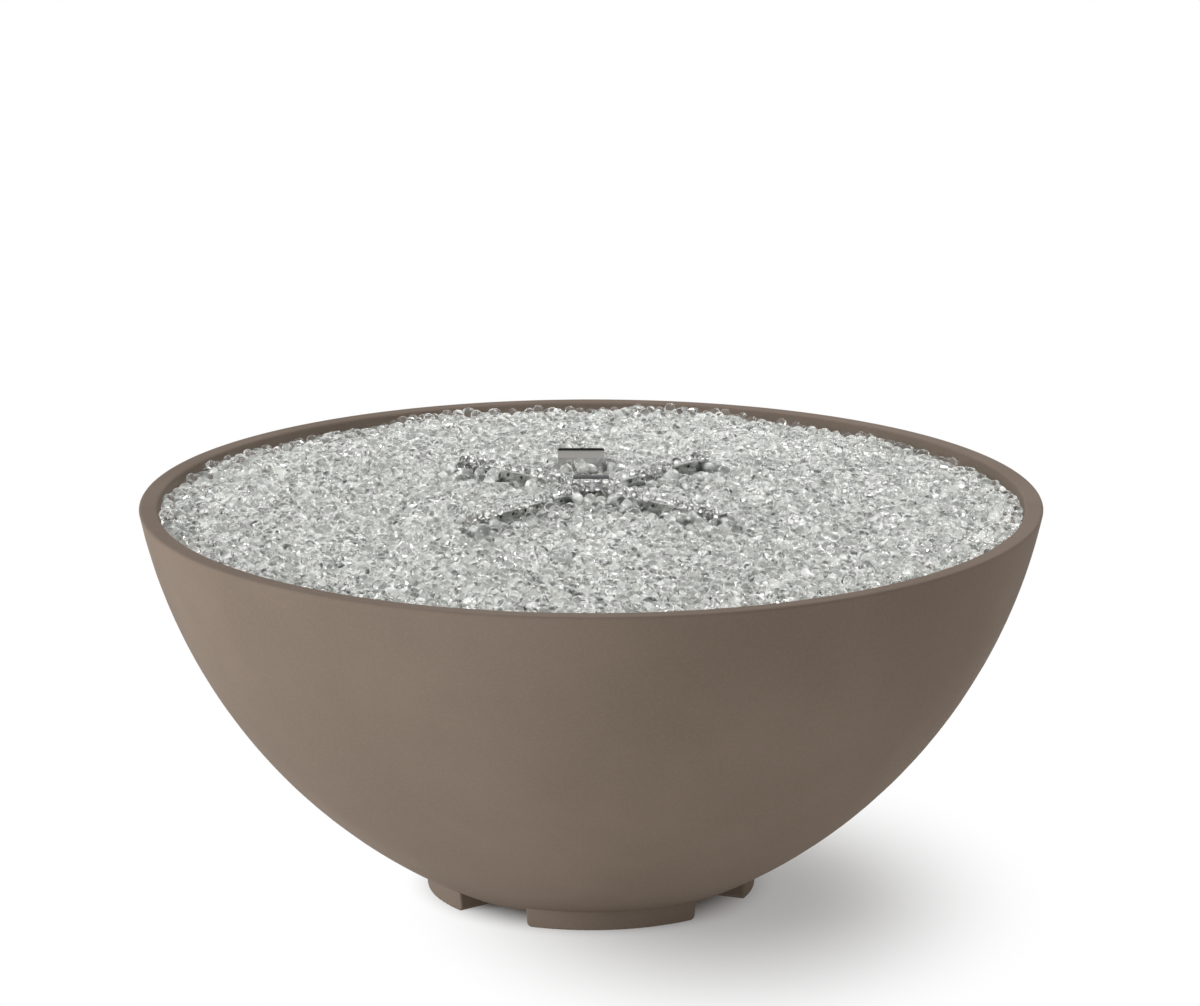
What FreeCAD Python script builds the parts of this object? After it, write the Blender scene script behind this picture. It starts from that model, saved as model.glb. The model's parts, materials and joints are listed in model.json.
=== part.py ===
import FreeCAD, Part
import math
import os

# Gas fire pit bowl for the garden, in millimetres and degrees
# +Z is up, the ground is z = 0, the bowl turns about the Z axis, -Y is the front and +Y the control side

os.makedirs("parts", exist_ok=True)

V = FreeCAD.Vector
UP = V(0, 0, 1)
DOWN = V(0, 0, -1)
BACKWARD = V(0, 1, 0)
FORWARD = V(0, -1, 0)

# Clearances
SEAT_GAP = 0.3          # a piece that rests near its seat
RUN_GAP = 0.05          # radial clearance of what turns or slides
SCREW_GAP = 0.1         # radial clearance of a screw in its hole
GLASS_GAP = 0.4         # the glass bed from the pieces that stand in it

# Bowl
RIM_RADIUS = 533.4      # 42 inches across the rim
BOWL_HEIGHT = 470.0     # 18.5 inches from the ground to the rim
WALL = 21.0
RIM_LEAN = 11.5         # lean of the wall from upright, at the rim
BASE_RADIUS = 177.0     # edge of the flat underside
BASE_GAP = 13.0         # flat underside above the ground
FLOOR = 32.0            # thickness of the flat floor
FLOOR_ROUND = 25.0      # hollow corner between floor and wall
RIM_OUTER_ROUND = 2.5
RIM_INNER_ROUND = 3.0
GAS_HOLE_RADIUS = 44.5

FOOT_COUNT = 4
FOOT_TURN = 8.0         # the front foot's middle, turned from -Y towards +X
FOOT_SPAN = 61.5
FOOT_PROUD = 21.5       # outer face of a foot beyond the flat underside
FOOT_WIDTH = 48.5
FOOT_DRAFT = 3.0        # outer face at the ground, further in than at its top
FOOT_ROUND = 2.5
FOOT_END_ROUND = 6.0    # where a foot's ends meet the ground

LEDGE_DROP = 40.0       # top of the ledge below the rim
LEDGE_WIDTH = 22.0
LEDGE_EDGE = 6.0
LEDGE_TAPER = 24.0

# Burner tray
SHEET = 2.0
TRAY_GAP = 7.0          # edge of the tray from the bowl's wall
TRAY_LIP = 22.0
TRAY_BEND = 4.0
DRAIN_RADIUS = 5.0
DRAIN_COUNT = 8
DRAIN_SHARE = 0.86      # circle of the drain holes, as a share of the tray's radius
TRAY_SCREW_COUNT = 4
TRAY_SCREW_INSET = 9.0
TRAY_SCREW_LENGTH = 14.0
STIFFENER_SPREAD = 0.524    # stiffener from the middle, as a share of the ledge's radius
STIFFENER_GAP = 18.0    # end of a stiffener from the ledge
STIFFENER_WIDTH = 44.0
STIFFENER_CROWN = 22.0
STIFFENER_DEPTH = 25.0
STIFFENER_SHEET = 1.5

# Screws
SCREW_RADIUS = 2.0
SCREW_HEAD_RADIUS = 3.6
SCREW_HEAD_HEIGHT = 2.4
SCREW_SOCKET = 2.4      # width of the hexagon in the head
SCREW_SOCKET_DEPTH = 1.4
SCREW_PAST = 5.0        # end of a screw past the tray

# Glass bed
GLASS_BELOW_RIM = 4.0
GLASS_CROWN = 15.0      # the middle of the bed above its edge
HEAP_PITCH = 76.0       # between the heaps that the loose glass lies in
HEAP_WIDTH = 72.0       # of the widest heap
HEAP_NARROWEST = 0.84   # share of that width
HEAP_PROUD = 1.5        # top of a heap above the even bed
HEAP_HOLLOW = 7.0       # hollows between the heaps, below the even bed
HEAP_ROOT = 3.0         # side of a heap into the bed
HEAP_TURN = 137.5       # each ring of heaps from the last
HEAP_STEP = 0.618       # spreads the heaps' widths evenly

# Burner
BURNER_TURN = 48.5      # first arm from +X
ARM_COUNT = 4
ARM_REACH = 205.0
ARM_WIDTH = 16.0
ARM_HEIGHT = 25.0
ARM_PROUD = 7.0         # top of the arms above the glass
ARM_SHEET = 1.5
ARM_ROUND = 1.2
CAP_SHEET = 2.0
PORT_RADIUS = 1.6
PORT_COUNT = 7
PORT_FIRST = 62.0
PORT_LAST = 17.0        # last port from the end of the arm
PORT_DROP = 3.6         # below the top of the arm
HUB_WIDTH = 44.0
HUB_SHEET = 2.0
BRIDGE_WIDTH = 46.0
BRIDGE_DEPTH = 12.0
BRIDGE_HEIGHT = 11.5
BRIDGE_SHEET = 1.6
BRIDGE_ROUND = 5.0
STAND_INSET = 55.0      # stand from the end of the arm
STAND_BASE = 26.0
STAND_TOP = 20.0
STAND_SHEET = 1.5
STAND_WIDTH = 14.0
STAND_SCREW = 17.0      # screw from the stand's upright

# Coupling, mixer and orifice under the hub
COUPLING_RADIUS = 16.7
COUPLING_BORE = 13.0
COUPLING_DROP = 40.0    # end of the coupling below the tray
LOCKNUT_WIDTH = 46.0
LOCKNUT_HEIGHT = 8.0
MIXER_SOCKET_RADIUS = 20.5
MIXER_SOCKET = 12.0     # length of the socket on the coupling
MIXER_RADIUS = 16.0
MIXER_LENGTH = 90.0     # from the coupling's end to the mixer's end
MIXER_END = 6.0
MIXER_TAPER = 6.0
WINDOW_WIDTH = 18.0
WINDOW_HEIGHT = 30.0
WINDOW_LIFT = 15.0      # window above the mixer's end
COLLAR_RADIUS = 19.0
COLLAR_HEIGHT = 8.0
SHUTTER_SHEET = 1.5
SHUTTER_LENGTH = 44.0
SHUTTER_BOSS_RADIUS = 5.0
SHUTTER_BOSS_LENGTH = 5.0
THUMB_RADIUS = 5.5
THUMB_LENGTH = 7.0
THUMB_NOTCHES = 10
THUMB_NOTCH_RADIUS = 0.8
ORIFICE_RADIUS = 6.0
ORIFICE_BORE = 1.5
ORIFICE_LENGTH = 18.0
ORIFICE_HEX = 15.0
ORIFICE_HEX_HEIGHT = 6.0
ELBOW_WIDTH = 20.0
BLOCK_ROUND = 3.0       # corners of the elbow and of the inlet fitting

# Gas lines
FLARE_RADIUS = 7.94     # 5/8 inch flare thread
FLARE_LENGTH = 14.0
FLARE_CHAMFER = 2.5
FLARE_REACH = 24.0      # end of a flare from its elbow's middle
SIDE_REACH = 26.0       # end of the inlet fitting's side flare
FLARE_BARE = 2.0        # foot of a flare that its nut leaves bare
NUT_WIDTH = 20.0
NUT_LENGTH = 20.0
HOSE_RADIUS = 6.0
PILOT_TUBE_RADIUS = 2.25
LEAD_RADIUS = 1.25
WIRE_RADIUS = 1.5
GAS_BORE = 4.0
HOSE_LAST_RUN = 62.0    # straight end of each hose
SUPPLY_FIRST_RUN = 48.0
BURNER_FIRST_RUN = 38.0
LINE_START = 45.0       # straight start of each pilot line

# Routes of the hoses: share of the way, bow to the side and rise
SUPPLY_ROUTE = ((0.175, 2.6, -38.8), (0.437, 4.0, -42.5), (0.715, 0.9, -28.7))
BURNER_ROUTE = ((0.097, 64.0, -2.6), (0.299, 99.1, -3.1), (0.496, 95.5, -3.7), (0.65, 60.6, -3.5),
                (0.779, 16.6, -2.0))

# Route of the pilot lines: share of the way to the side, distance behind the pilot and height from its end
PILOT_ROUTE = ((0.66, 173.0, -50.0), (0.3, 113.0, -44.0), (0.04, 51.0, -48.0), (0.0, 19.0, -52.0),
               (0.0, 0.0, -30.0))

# Pilot
PILOT_X = -12.0
PILOT_Y = 127.0
HOOD_WIDTH = 56.0
HOOD_DEPTH = 38.0
HOOD_PROUD = 15.0       # top of the hood above the glass
HOOD_SHEET = 1.2
HOOD_TAB = 3.0
HOOD_TAB_SHARE = 0.86   # width of the tab, as a share of the hood's
HOOD_ROUND = 2.0
HOOD_WINDOW_WIDTH = 14.0
HOOD_WINDOW_HEIGHT = 9.0
HOOD_FLANGE = 7.0
HOOD_FLANGE_SHARE = 0.6     # depth of the flanges, as a share of the hood's
BRACKET_LENGTH = 50.0
BRACKET_WIDTH = 24.0
BRACKET_SHEET = 1.5
BRACKET_CORNER = 3.0
BRACKET_SCREW = 21.0
DECK_SLOT_LENGTH = 34.0
DECK_SLOT_WIDTH = 13.0
PILOT_SPREAD = 12.0     # electrode and thermocouple from the nozzle
NOZZLE_RADIUS = 4.5
NOZZLE_HEX = 11.0
NOZZLE_RISE = 26.0
NOZZLE_CHAMFER = 1.5
NOZZLE_BORE = 1.8
NOZZLE_CROWN = 3.0      # closed top of the nozzle
NOZZLE_PORT = 1.2
NOZZLE_PORT_DROP = 5.0
PROBE_DROP = 12.0       # ends of the pilot's pieces below the tray
PROBE_COLLAR = 4.0      # height of the collar on each pilot piece
PROBE_COLLAR_RADIUS = 5.2
INSULATOR_RADIUS = 3.4
INSULATOR_RISE = 22.0
ROD_RADIUS = 1.0
ROD_RISE = 12.0
ROD_BEND = 8.0
THERMO_RADIUS = 2.6
THERMO_RISE = 34.0

# Control panel, in its own frame: local z = 0 is the back of the panel
PANEL_DROP = 185.0      # middle of the panel below the rim
PANEL_WIDTH = 160.0
PANEL_HEIGHT = 90.0
PANEL_CORNER = 9.0
PANEL_SHEET = 2.0
PANEL_SINK = 0.4        # panel's corners below the bowl's surface
PANEL_GAP = 1.5
PANEL_SCREW_INSET = 9.5
PANEL_SCREW_LENGTH = 11.0
BOX_WIDTH = 124.0
BOX_HEIGHT = 54.0
BOX_DEPTH = 85.5
BOX_SHEET = 1.2
BOX_CORNER = 5.0
BOX_GAP = 2.0           # box from the opening in the wall
GROMMET_RADIUS = 6.0
GROMMET_FLANGE = 1.2
GROMMET_LIP = 1.6

# Valve
VALVE_X = -32.0
STEM_RADIUS = 4.0
STEM_FLAT = 3.0         # flat of the stem from its axis
STEM_UP = 20.0          # stem's outer end above the panel's back
KNOB_RADIUS = 23.0
KNOB_SKIRT = 5.0
KNOB_GRIP_RADIUS = 17.0
KNOB_HEIGHT = 20.0
KNOB_ROUND = 2.0
KNOB_EDGE = 1.0         # bevels at the skirt and the grip's foot
KNOB_SHOULDER = 3.0
KNOB_DRAFT = 1.0
KNOB_FLUTE_RADIUS = 3.0
KNOB_FLUTE_OUT = 1.8    # middle of a flute outside the grip
KNOB_FLUTES = 10
KNOB_POINTER = 2.0      # width of the pointer's groove
KNOB_POINTER_DEPTH = 1.0
KNOB_POINTER_SHARE = 0.8    # its length and place, as shares of the grip's radius
KNOB_POINTER_OUT = 0.6
KNOB_LIFT = 4.6         # knob above the panel
KNOB_HOLLOW = 3.5       # depth of the hollow under the knob
KNOB_HOLLOW_RADIUS = 20.0
KNOB_HUB_RADIUS = 7.0
PUSH_TRAVEL = 4.0
BONNET_RADIUS = 16.0
BONNET_SCREW = 12.0     # screw from the stem's axis
BONNET_SCREW_LENGTH = 8.0   # below the panel's back
BONNET_TOP = 3.0
BONNET_DEPTH = 16.5
CAVITY_RADIUS = 8.0
STEM_COLLAR_RADIUS = 7.0
STEM_COLLAR = 2.0
STEM_ROUND_END = 14.3   # depth of the end of the stem's round part
TANG_WIDTH = 3.0
TANG_BREADTH = 7.6
TANG_END = 25.0
VALVE_RADIUS = 16.0
VALVE_DEPTH = 46.0
ROTOR_TOP_RADIUS = 9.0
ROTOR_END_RADIUS = 7.2
ROTOR_SINK = 2.2        # rotor's top below the valve's top
ROTOR_LENGTH = 17.8
ROTOR_PORT = 2.0
PUSH_ROD_RADIUS = 1.5
PUSH_ROD_LENGTH = 31.5
PASSAGE_RADIUS = 2.2
MAGNET_RADIUS = 7.0
MAGNET_TAIL_RADIUS = 6.0
MAGNET_BORE_DEPTH = 11.5
MAGNET_LENGTH = 19.5
MAGNET_HEX = 15.0
OUTLET_DEPTH = 44.0
INLET_DEPTH = 54.0
PILOT_OUTLET_DEPTH = 46.0
PILOT_OUTLET_REACH = 19.0   # pilot outlet from the valve's axis
SPRING_WIRE = 0.45      # radius of the wire
SPRING_RADIUS = 5.4
SPRING_TURNS = 4
SPRING_RUNS = 10        # runs in one turn of a spring

# Igniter
IGNITER_X = 34.0
IGNITER_FLANGE_RADIUS = 14.0
IGNITER_FLANGE = 3.0
BARREL_RADIUS = 11.0
BARREL_DEPTH = 64.0
BARREL_END = 3.0
BATTERY_RADIUS = 7.25
BATTERY_LENGTH = 50.5
BATTERY_NUB = 1.3
BATTERY_NUB_RADIUS = 2.75
BATTERY_GAP = 0.25
BUTTON_RADIUS = 7.9
BUTTON_SKIRT_RADIUS = 9.5
BUTTON_SKIRT = 3.7
BUTTON_PROUD = 4.0
BUTTON_ROUND = 1.5
BUTTON_TRAVEL = 3.5
BUTTON_SPARE = 1.5      # room left under the button when it is pressed
BUTTON_MOUTH = 1.0      # top of the skirt's room above the panel's back
IGNITER_NUT_WIDTH = 30.0
IGNITER_NUT = 5.0
BUTTON_SPRING_RADIUS = 4.3
BUTTON_SPRING_WIRE = 0.35
BUTTON_SPRING_TURNS = 3
MODULE_WIDTH = 36.0
MODULE_HEIGHT = 13.0
MODULE_LENGTH = 40.0
MODULE_CORNER = 2.0
MODULE_DEPTH = 35.0     # front of the module behind the panel
MODULE_PIN_RADIUS = 1.5
MODULE_PIN_LENGTH = 4.0

# Gas inlet over the floor's hole
INLET_HEIGHT = 65.0     # top of the bracket above the floor
INLET_SPAN = 164.0
INLET_FOOT = 24.0
INLET_WIDTH = 40.0
INLET_SHEET = 3.0
INLET_BEND = 5.0
INLET_THREAD_RADIUS = 9.0
INLET_THREAD = 20.0
INLET_NUT_WIDTH = 26.0
INLET_NUT = 8.0
INLET_BLOCK = 24.0
BRACKET_SCREW_LENGTH = 20.0

# Places worked out from the sizes above
TOUCH = 0.001
LEAN = math.radians(RIM_LEAN)
RIM_CORNER = RIM_RADIUS + RIM_OUTER_ROUND * (math.tan(LEAN) + 1 / math.cos(LEAN) - 1)
CHORD_OUT = RIM_CORNER - BASE_RADIUS
CHORD_UP = BOWL_HEIGHT - BASE_GAP
CHORD_TURN = math.atan2(CHORD_OUT, CHORD_UP) - LEAN
ARC_RADIUS = math.hypot(CHORD_OUT, CHORD_UP) / (2 * math.sin(CHORD_TURN))
ARC_R = RIM_CORNER - ARC_RADIUS * math.cos(LEAN)
ARC_Z = BOWL_HEIGHT + ARC_RADIUS * math.sin(LEAN)


def wall_radius(height, depth):
    return ARC_R + math.sqrt((ARC_RADIUS - depth) ** 2 - (ARC_Z - height) ** 2)


def wall_height(radius, depth):
    return ARC_Z - math.sqrt((ARC_RADIUS - depth) ** 2 - (radius - ARC_R) ** 2)


FLOOR_TOP = BASE_GAP + FLOOR
LEDGE_TOP = BOWL_HEIGHT - LEDGE_DROP
LEDGE_RADIUS = wall_radius(LEDGE_TOP, WALL) - LEDGE_WIDTH
STIFFENER_OFFSET = LEDGE_RADIUS * STIFFENER_SPREAD
STIFFENER_LENGTH = 2 * math.sqrt((LEDGE_RADIUS - STIFFENER_GAP) ** 2
                                 - (STIFFENER_OFFSET + STIFFENER_WIDTH / 2) ** 2)
DECK = LEDGE_TOP + SHEET
TRAY_RADIUS = wall_radius(LEDGE_TOP, WALL) - TRAY_GAP
TRAY_SCREW_CIRCLE = TRAY_RADIUS - TRAY_SCREW_INSET
GLASS_EDGE = BOWL_HEIGHT - GLASS_BELOW_RIM
GLASS_TOP = GLASS_EDGE + GLASS_CROWN
ARM_TOP = GLASS_TOP + ARM_PROUD
ARM_BOTTOM = ARM_TOP - ARM_HEIGHT
PORT_PITCH = (ARM_REACH - PORT_LAST - PORT_FIRST) / (PORT_COUNT - 1)
STAND_REACH = ARM_REACH - STAND_INSET
COUPLING_END = LEDGE_TOP - COUPLING_DROP
MIXER_BOTTOM = COUPLING_END - MIXER_LENGTH
SHUTTER_BOSS_Z = MIXER_BOTTOM + COLLAR_HEIGHT + SHUTTER_LENGTH - SHUTTER_BOSS_RADIUS - 2 * SHUTTER_SHEET
ORIFICE_TOP = MIXER_BOTTOM + ORIFICE_LENGTH - ORIFICE_HEX_HEIGHT
ELBOW_TOP = MIXER_BOTTOM - ORIFICE_HEX_HEIGHT
ELBOW_Z = ELBOW_TOP - ELBOW_WIDTH / 2
HOOD_TOP = GLASS_TOP + HOOD_PROUD
BRACKET_TOP = DECK + BRACKET_SHEET
PROBE_END = LEDGE_TOP - PROBE_DROP
ARM_ANGLES = [BURNER_TURN + 360 * k / ARM_COUNT for k in range(ARM_COUNT)]

PANEL_HEIGHT_UP = BOWL_HEIGHT - PANEL_DROP
PANEL_LEAN = math.asin((ARC_Z - PANEL_HEIGHT_UP) / ARC_RADIUS)
PANEL_OUT = V(0, math.cos(PANEL_LEAN), -math.sin(PANEL_LEAN))
PANEL_UP = V(0, math.sin(PANEL_LEAN), math.cos(PANEL_LEAN))
PANEL_RIGHT = V(-1, 0, 0)
PANEL_RADIUS = wall_radius(PANEL_HEIGHT_UP, 0)
ROUND_RADIUS = PANEL_RADIUS / math.cos(PANEL_LEAN)
CORNER_DROP = (PANEL_WIDTH / 2) ** 2 / (2 * ROUND_RADIUS) + (PANEL_HEIGHT / 2) ** 2 / (2 * ARC_RADIUS)
POCKET_DEPTH = CORNER_DROP + PANEL_SHEET + PANEL_SINK
PANEL_ORIGIN = V(0, PANEL_RADIUS, PANEL_HEIGHT_UP) - PANEL_OUT * POCKET_DEPTH
PANEL_FRAME = FreeCAD.Placement(PANEL_ORIGIN, FreeCAD.Rotation(PANEL_RIGHT, PANEL_UP, PANEL_OUT, "ZXY"))

ROTOR_TOP = -BONNET_DEPTH - ROTOR_SINK
ROTOR_BOTTOM = ROTOR_TOP - ROTOR_LENGTH
TANG_SLOT_END = -TANG_END - PUSH_TRAVEL - 5 * SCREW_GAP
VALVE_BOTTOM = -BONNET_DEPTH - VALVE_DEPTH
MAGNET_NOSE = -TANG_END - PUSH_ROD_LENGTH - PUSH_TRAVEL - SEAT_GAP
FLARE_OUT = FLARE_LENGTH + BOX_GAP
OUTLET_REACH = BOX_WIDTH / 2 + VALVE_X + FLARE_OUT
INLET_REACH = BOX_HEIGHT / 2 + FLARE_OUT
BUTTON_TOP = PANEL_SHEET + IGNITER_FLANGE + BUTTON_PROUD
BUTTON_BOTTOM = BUTTON_MOUTH - SEAT_GAP - BUTTON_SKIRT
BUTTON_STOP = BUTTON_BOTTOM - BUTTON_TRAVEL - BUTTON_SPARE
BATTERY_TOP = -BARREL_DEPTH + BARREL_END + BATTERY_LENGTH - BATTERY_NUB
BLOCK_Z = FLOOR_TOP + INLET_HEIGHT + INLET_BLOCK / 2


# Shapes that are used more than once; cutters run 1 mm past what they cut
def cylinder(radius, bottom, top, x=0.0, y=0.0):
    return Part.makeCylinder(radius, top - bottom, V(x, y, bottom))


def block(width, depth, bottom, top, x=0.0, y=0.0):
    return Part.makeBox(width, depth, top - bottom, V(x - width / 2, y - depth / 2, bottom))


def rounded_block(width, depth, corner, bottom, top, x=0.0, y=0.0):
    body = block(width, depth, bottom, top, x, y)
    upright = [e for e in body.Edges if abs(e.Vertexes[0].Z - e.Vertexes[1].Z) > TOUCH]
    return body.makeFillet(corner, upright)


def line(start, end):
    return Part.makeLine(V(start[0], 0, start[1]), V(end[0], 0, end[1]))


def revolved(edges, angle=360):
    face = Part.Face(Part.Wire(edges))
    return face.revolve(V(0, 0, 0), UP, angle)


def turned(points, angle=360):
    closed = points + points[:1]
    return revolved([line(a, b) for a, b in zip(closed, closed[1:])], angle)


def mirrored(points):
    return points + [(-a, b) for a, b in reversed(points)]


def folded(points, width, x=0.0):
    outline = [V(x, y, z) for y, z in points]
    face = Part.Face(Part.makePolygon(outline + outline[:1]))
    return face.extrude(V(width, 0, 0))


def hexagon(width, bottom, top, bore=0.0):
    across = width / math.sqrt(3)
    corners = [V(*polar(across, 60 * k), bottom) for k in range(7)]
    prism = Part.Face(Part.makePolygon(corners)).extrude(V(0, 0, top - bottom))
    edge = across - width / 2
    middle = (bottom + top) / 2
    cone = [(0, bottom), (width / 2, bottom), (across, bottom + edge * 0.6), (across, middle),
            (across, top - edge * 0.6), (width / 2, top), (0, top)]
    nut = prism.common(turned(cone))
    if bore:
        nut = nut.cut(cylinder(bore, bottom - 1, top + 1))
    return nut


def polar(radius, angle):
    return radius * math.cos(math.radians(angle)), radius * math.sin(math.radians(angle))


def spun(shape, angle):
    return shape.rotated(V(0, 0, 0), UP, angle)


def moved(shape, x, y, z=0.0):
    return shape.translated(V(x, y, z))


def aimed(shape, base, direction):
    place = FreeCAD.Placement(base, FreeCAD.Rotation(UP, direction))
    result = shape.copy()
    result.Placement = place.multiply(result.Placement)
    return result


def on_panel(shape):
    result = shape.copy()
    result.Placement = PANEL_FRAME.multiply(result.Placement)
    return result


def panel_point(x, y, z):
    return PANEL_FRAME.multVec(V(x, y, z))


def circle_edges(shape, radius, height):
    found = []
    for edge in shape.Edges:
        curve = edge.Curve
        if isinstance(curve, Part.Circle) and abs(curve.Radius - radius) < 0.01:
            if abs(curve.Center.z - height) < 0.01:
                found.append(edge)
    return found


def straight_edges(shape, height, side):
    # the edges along X at this height, this far to either side
    found = []
    for edge in shape.Edges:
        box = edge.BoundBox
        if abs(box.ZMin - height) + abs(box.ZMax - height) + box.YLength < 0.01:
            if abs(abs(box.YMin) - side) < 0.01:
                found.append(edge)
    return found


def screw(length):
    shank = cylinder(SCREW_RADIUS, -length, 0)
    head = cylinder(SCREW_HEAD_RADIUS, 0, SCREW_HEAD_HEIGHT)
    head = head.makeFillet(SCREW_HEAD_HEIGHT * 0.4, circle_edges(head, SCREW_HEAD_RADIUS, SCREW_HEAD_HEIGHT))
    socket = hexagon(SCREW_SOCKET, SCREW_HEAD_HEIGHT - SCREW_SOCKET_DEPTH, SCREW_HEAD_HEIGHT + 1)
    return shank.fuse(head).cut(socket).removeSplitter()


def screw_hole(bottom, top, x=0.0, y=0.0):
    return cylinder(SCREW_RADIUS + SCREW_GAP, bottom, top, x, y)


def flare(reach):
    nose = cylinder(FLARE_RADIUS, 0, reach)
    nose = nose.makeChamfer(FLARE_CHAMFER, circle_edges(nose, FLARE_RADIUS, reach))
    return nose


def bent_tube(name, points, radius):
    # straight runs joined by tangent arcs, each as large as its two runs allow
    edges = []
    start = points[0]
    radii = []
    for before, corner, after in zip(points, points[1:], points[2:]):
        back = before - corner
        ahead = after - corner
        turn = math.pi - back.getAngle(ahead)
        setback = 0.45 * min(back.Length, ahead.Length)
        bend = setback / math.tan(turn / 2)
        back.normalize()
        ahead.normalize()
        inward = back + ahead
        inward.normalize()
        entry = corner + back * setback
        middle = corner + inward * (bend / math.cos(turn / 2) - bend)
        leave = corner + ahead * setback
        edges.append(Part.makeLine(start, entry))
        edges.append(Part.Arc(entry, middle, leave).toShape())
        start = leave
        radii.append(bend)
    edges.append(Part.makeLine(start, points[-1]))
    path = Part.Wire(edges)
    section = Part.Wire([Part.makeCircle(radius, points[0], points[1] - points[0])])
    solid = path.makePipeShell([section], True, False)
    share = solid.Volume / (math.pi * radius ** 2 * path.Length)
    print(name, "length %.0f" % path.Length, "volume share %.4f" % share,
          "radii", [round(r) for r in radii])
    return solid


def spring(name, bottom, top, radius, wire, turns):
    count = turns * SPRING_RUNS
    rise = (top - bottom - 2 * wire) / count
    points = [V(*polar(radius, 360 * k / SPRING_RUNS), bottom + wire + rise * k) for k in range(count + 1)]
    return bent_tube(name, points, wire)


# Bowl
def wall_arc(start, end, depth):
    heights = (start, (start + end) / 2, end)
    return Part.Arc(*[V(wall_radius(z, depth), 0, z) for z in heights]).toShape()


def bowl_body():
    rim_inner = wall_radius(BOWL_HEIGHT, WALL)
    edge_z = LEDGE_TOP - LEDGE_EDGE
    taper_z = edge_z - LEDGE_TAPER
    floor_r = wall_radius(FLOOR_TOP, WALL)
    body = revolved([
        line((GAS_HOLE_RADIUS, BASE_GAP), (BASE_RADIUS, BASE_GAP)),
        wall_arc(BASE_GAP, BOWL_HEIGHT, 0),
        line((RIM_CORNER, BOWL_HEIGHT), (rim_inner, BOWL_HEIGHT)),
        wall_arc(BOWL_HEIGHT, LEDGE_TOP, WALL),
        line((wall_radius(LEDGE_TOP, WALL), LEDGE_TOP), (LEDGE_RADIUS, LEDGE_TOP)),
        line((LEDGE_RADIUS, LEDGE_TOP), (LEDGE_RADIUS, edge_z)),
        line((LEDGE_RADIUS, edge_z), (wall_radius(taper_z, WALL), taper_z)),
        wall_arc(taper_z, FLOOR_TOP, WALL),
        line((floor_r, FLOOR_TOP), (GAS_HOLE_RADIUS, FLOOR_TOP)),
        line((GAS_HOLE_RADIUS, FLOOR_TOP), (GAS_HOLE_RADIUS, BASE_GAP)),
    ])
    body = body.makeFillet(RIM_OUTER_ROUND, circle_edges(body, RIM_CORNER, BOWL_HEIGHT))
    body = body.makeFillet(RIM_INNER_ROUND, circle_edges(body, rim_inner, BOWL_HEIGHT))
    return body.makeFillet(FLOOR_ROUND, circle_edges(body, floor_r, FLOOR_TOP))


def foot(middle_angle):
    outer = BASE_RADIUS + FOOT_PROUD
    inner = outer - FOOT_WIDTH
    top = wall_height(outer, 0) + FOOT_ROUND / 2
    solid = turned([(inner, 0), (outer - FOOT_DRAFT, 0), (outer, top), (inner, top)], FOOT_SPAN)
    ends = [e for e in solid.Edges if e.BoundBox.ZMax < 0.01 and e.Curve.TypeId == "Part::GeomLine"]
    solid = solid.makeFillet(FOOT_END_ROUND, ends)
    sides = [f for f in solid.Faces if f.Surface.TypeId in ("Part::GeomCone", "Part::GeomCylinder")
             and f.BoundBox.ZLength > top - FOOT_ROUND]
    around = [e for f in sides for e in f.Edges if e.BoundBox.ZMin < top - FOOT_ROUND]
    solid = solid.makeFillet(FOOT_ROUND, around)
    return spun(solid, middle_angle - FOOT_SPAN / 2)


def foot_angle(number):
    return FOOT_TURN - 90 + 360 * number / FOOT_COUNT


def tray_screw_places():
    return [polar(TRAY_SCREW_CIRCLE, 360 * (k + 0.5) / TRAY_SCREW_COUNT) for k in range(TRAY_SCREW_COUNT)]


def panel_screw_places():
    x = PANEL_WIDTH / 2 - PANEL_SCREW_INSET
    y = PANEL_HEIGHT / 2 - PANEL_SCREW_INSET
    return [(sx * x, sy * y) for sx in (-1, 1) for sy in (-1, 1)]


def bracket_screw_places():
    x = (INLET_SPAN - INLET_FOOT) / 2
    y = INLET_WIDTH / 4
    return [(sx * x, sy * y) for sx in (-1, 1) for sy in (-1, 1)]


def bowl_feet():
    body = bowl_body()
    return [foot(foot_angle(k)).cut(body) for k in range(FOOT_COUNT)]


def bowl_shell():
    pocket = rounded_block(PANEL_WIDTH + 2 * PANEL_GAP, PANEL_HEIGHT + 2 * PANEL_GAP,
                           PANEL_CORNER + PANEL_GAP, 0, 2 * WALL)
    opening = rounded_block(BOX_WIDTH + 2 * BOX_GAP, BOX_HEIGHT + 2 * BOX_GAP,
                            BOX_CORNER + BOX_GAP, -2 * WALL, WALL)
    cuts = [on_panel(pocket), on_panel(opening)]
    cuts += [on_panel(screw_hole(-PANEL_SCREW_LENGTH - 1, 1, x, y)) for x, y in panel_screw_places()]
    cuts += [screw_hole(LEDGE_TOP - TRAY_SCREW_LENGTH, LEDGE_TOP + 1, x, y) for x, y in tray_screw_places()]
    depth = BRACKET_SCREW_LENGTH
    cuts += [screw_hole(FLOOR_TOP - depth, FLOOR_TOP + 1, x, y) for x, y in bracket_screw_places()]
    return bowl_body().cut(cuts).removeSplitter()


# Burner tray and what stiffens and holds it
def stand_screw_places():
    return [polar(STAND_REACH + STAND_SCREW, angle) for angle in ARM_ANGLES]


def pilot_screw_places():
    return [(PILOT_X + side * BRACKET_SCREW, PILOT_Y) for side in (-1, 1)]


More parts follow.
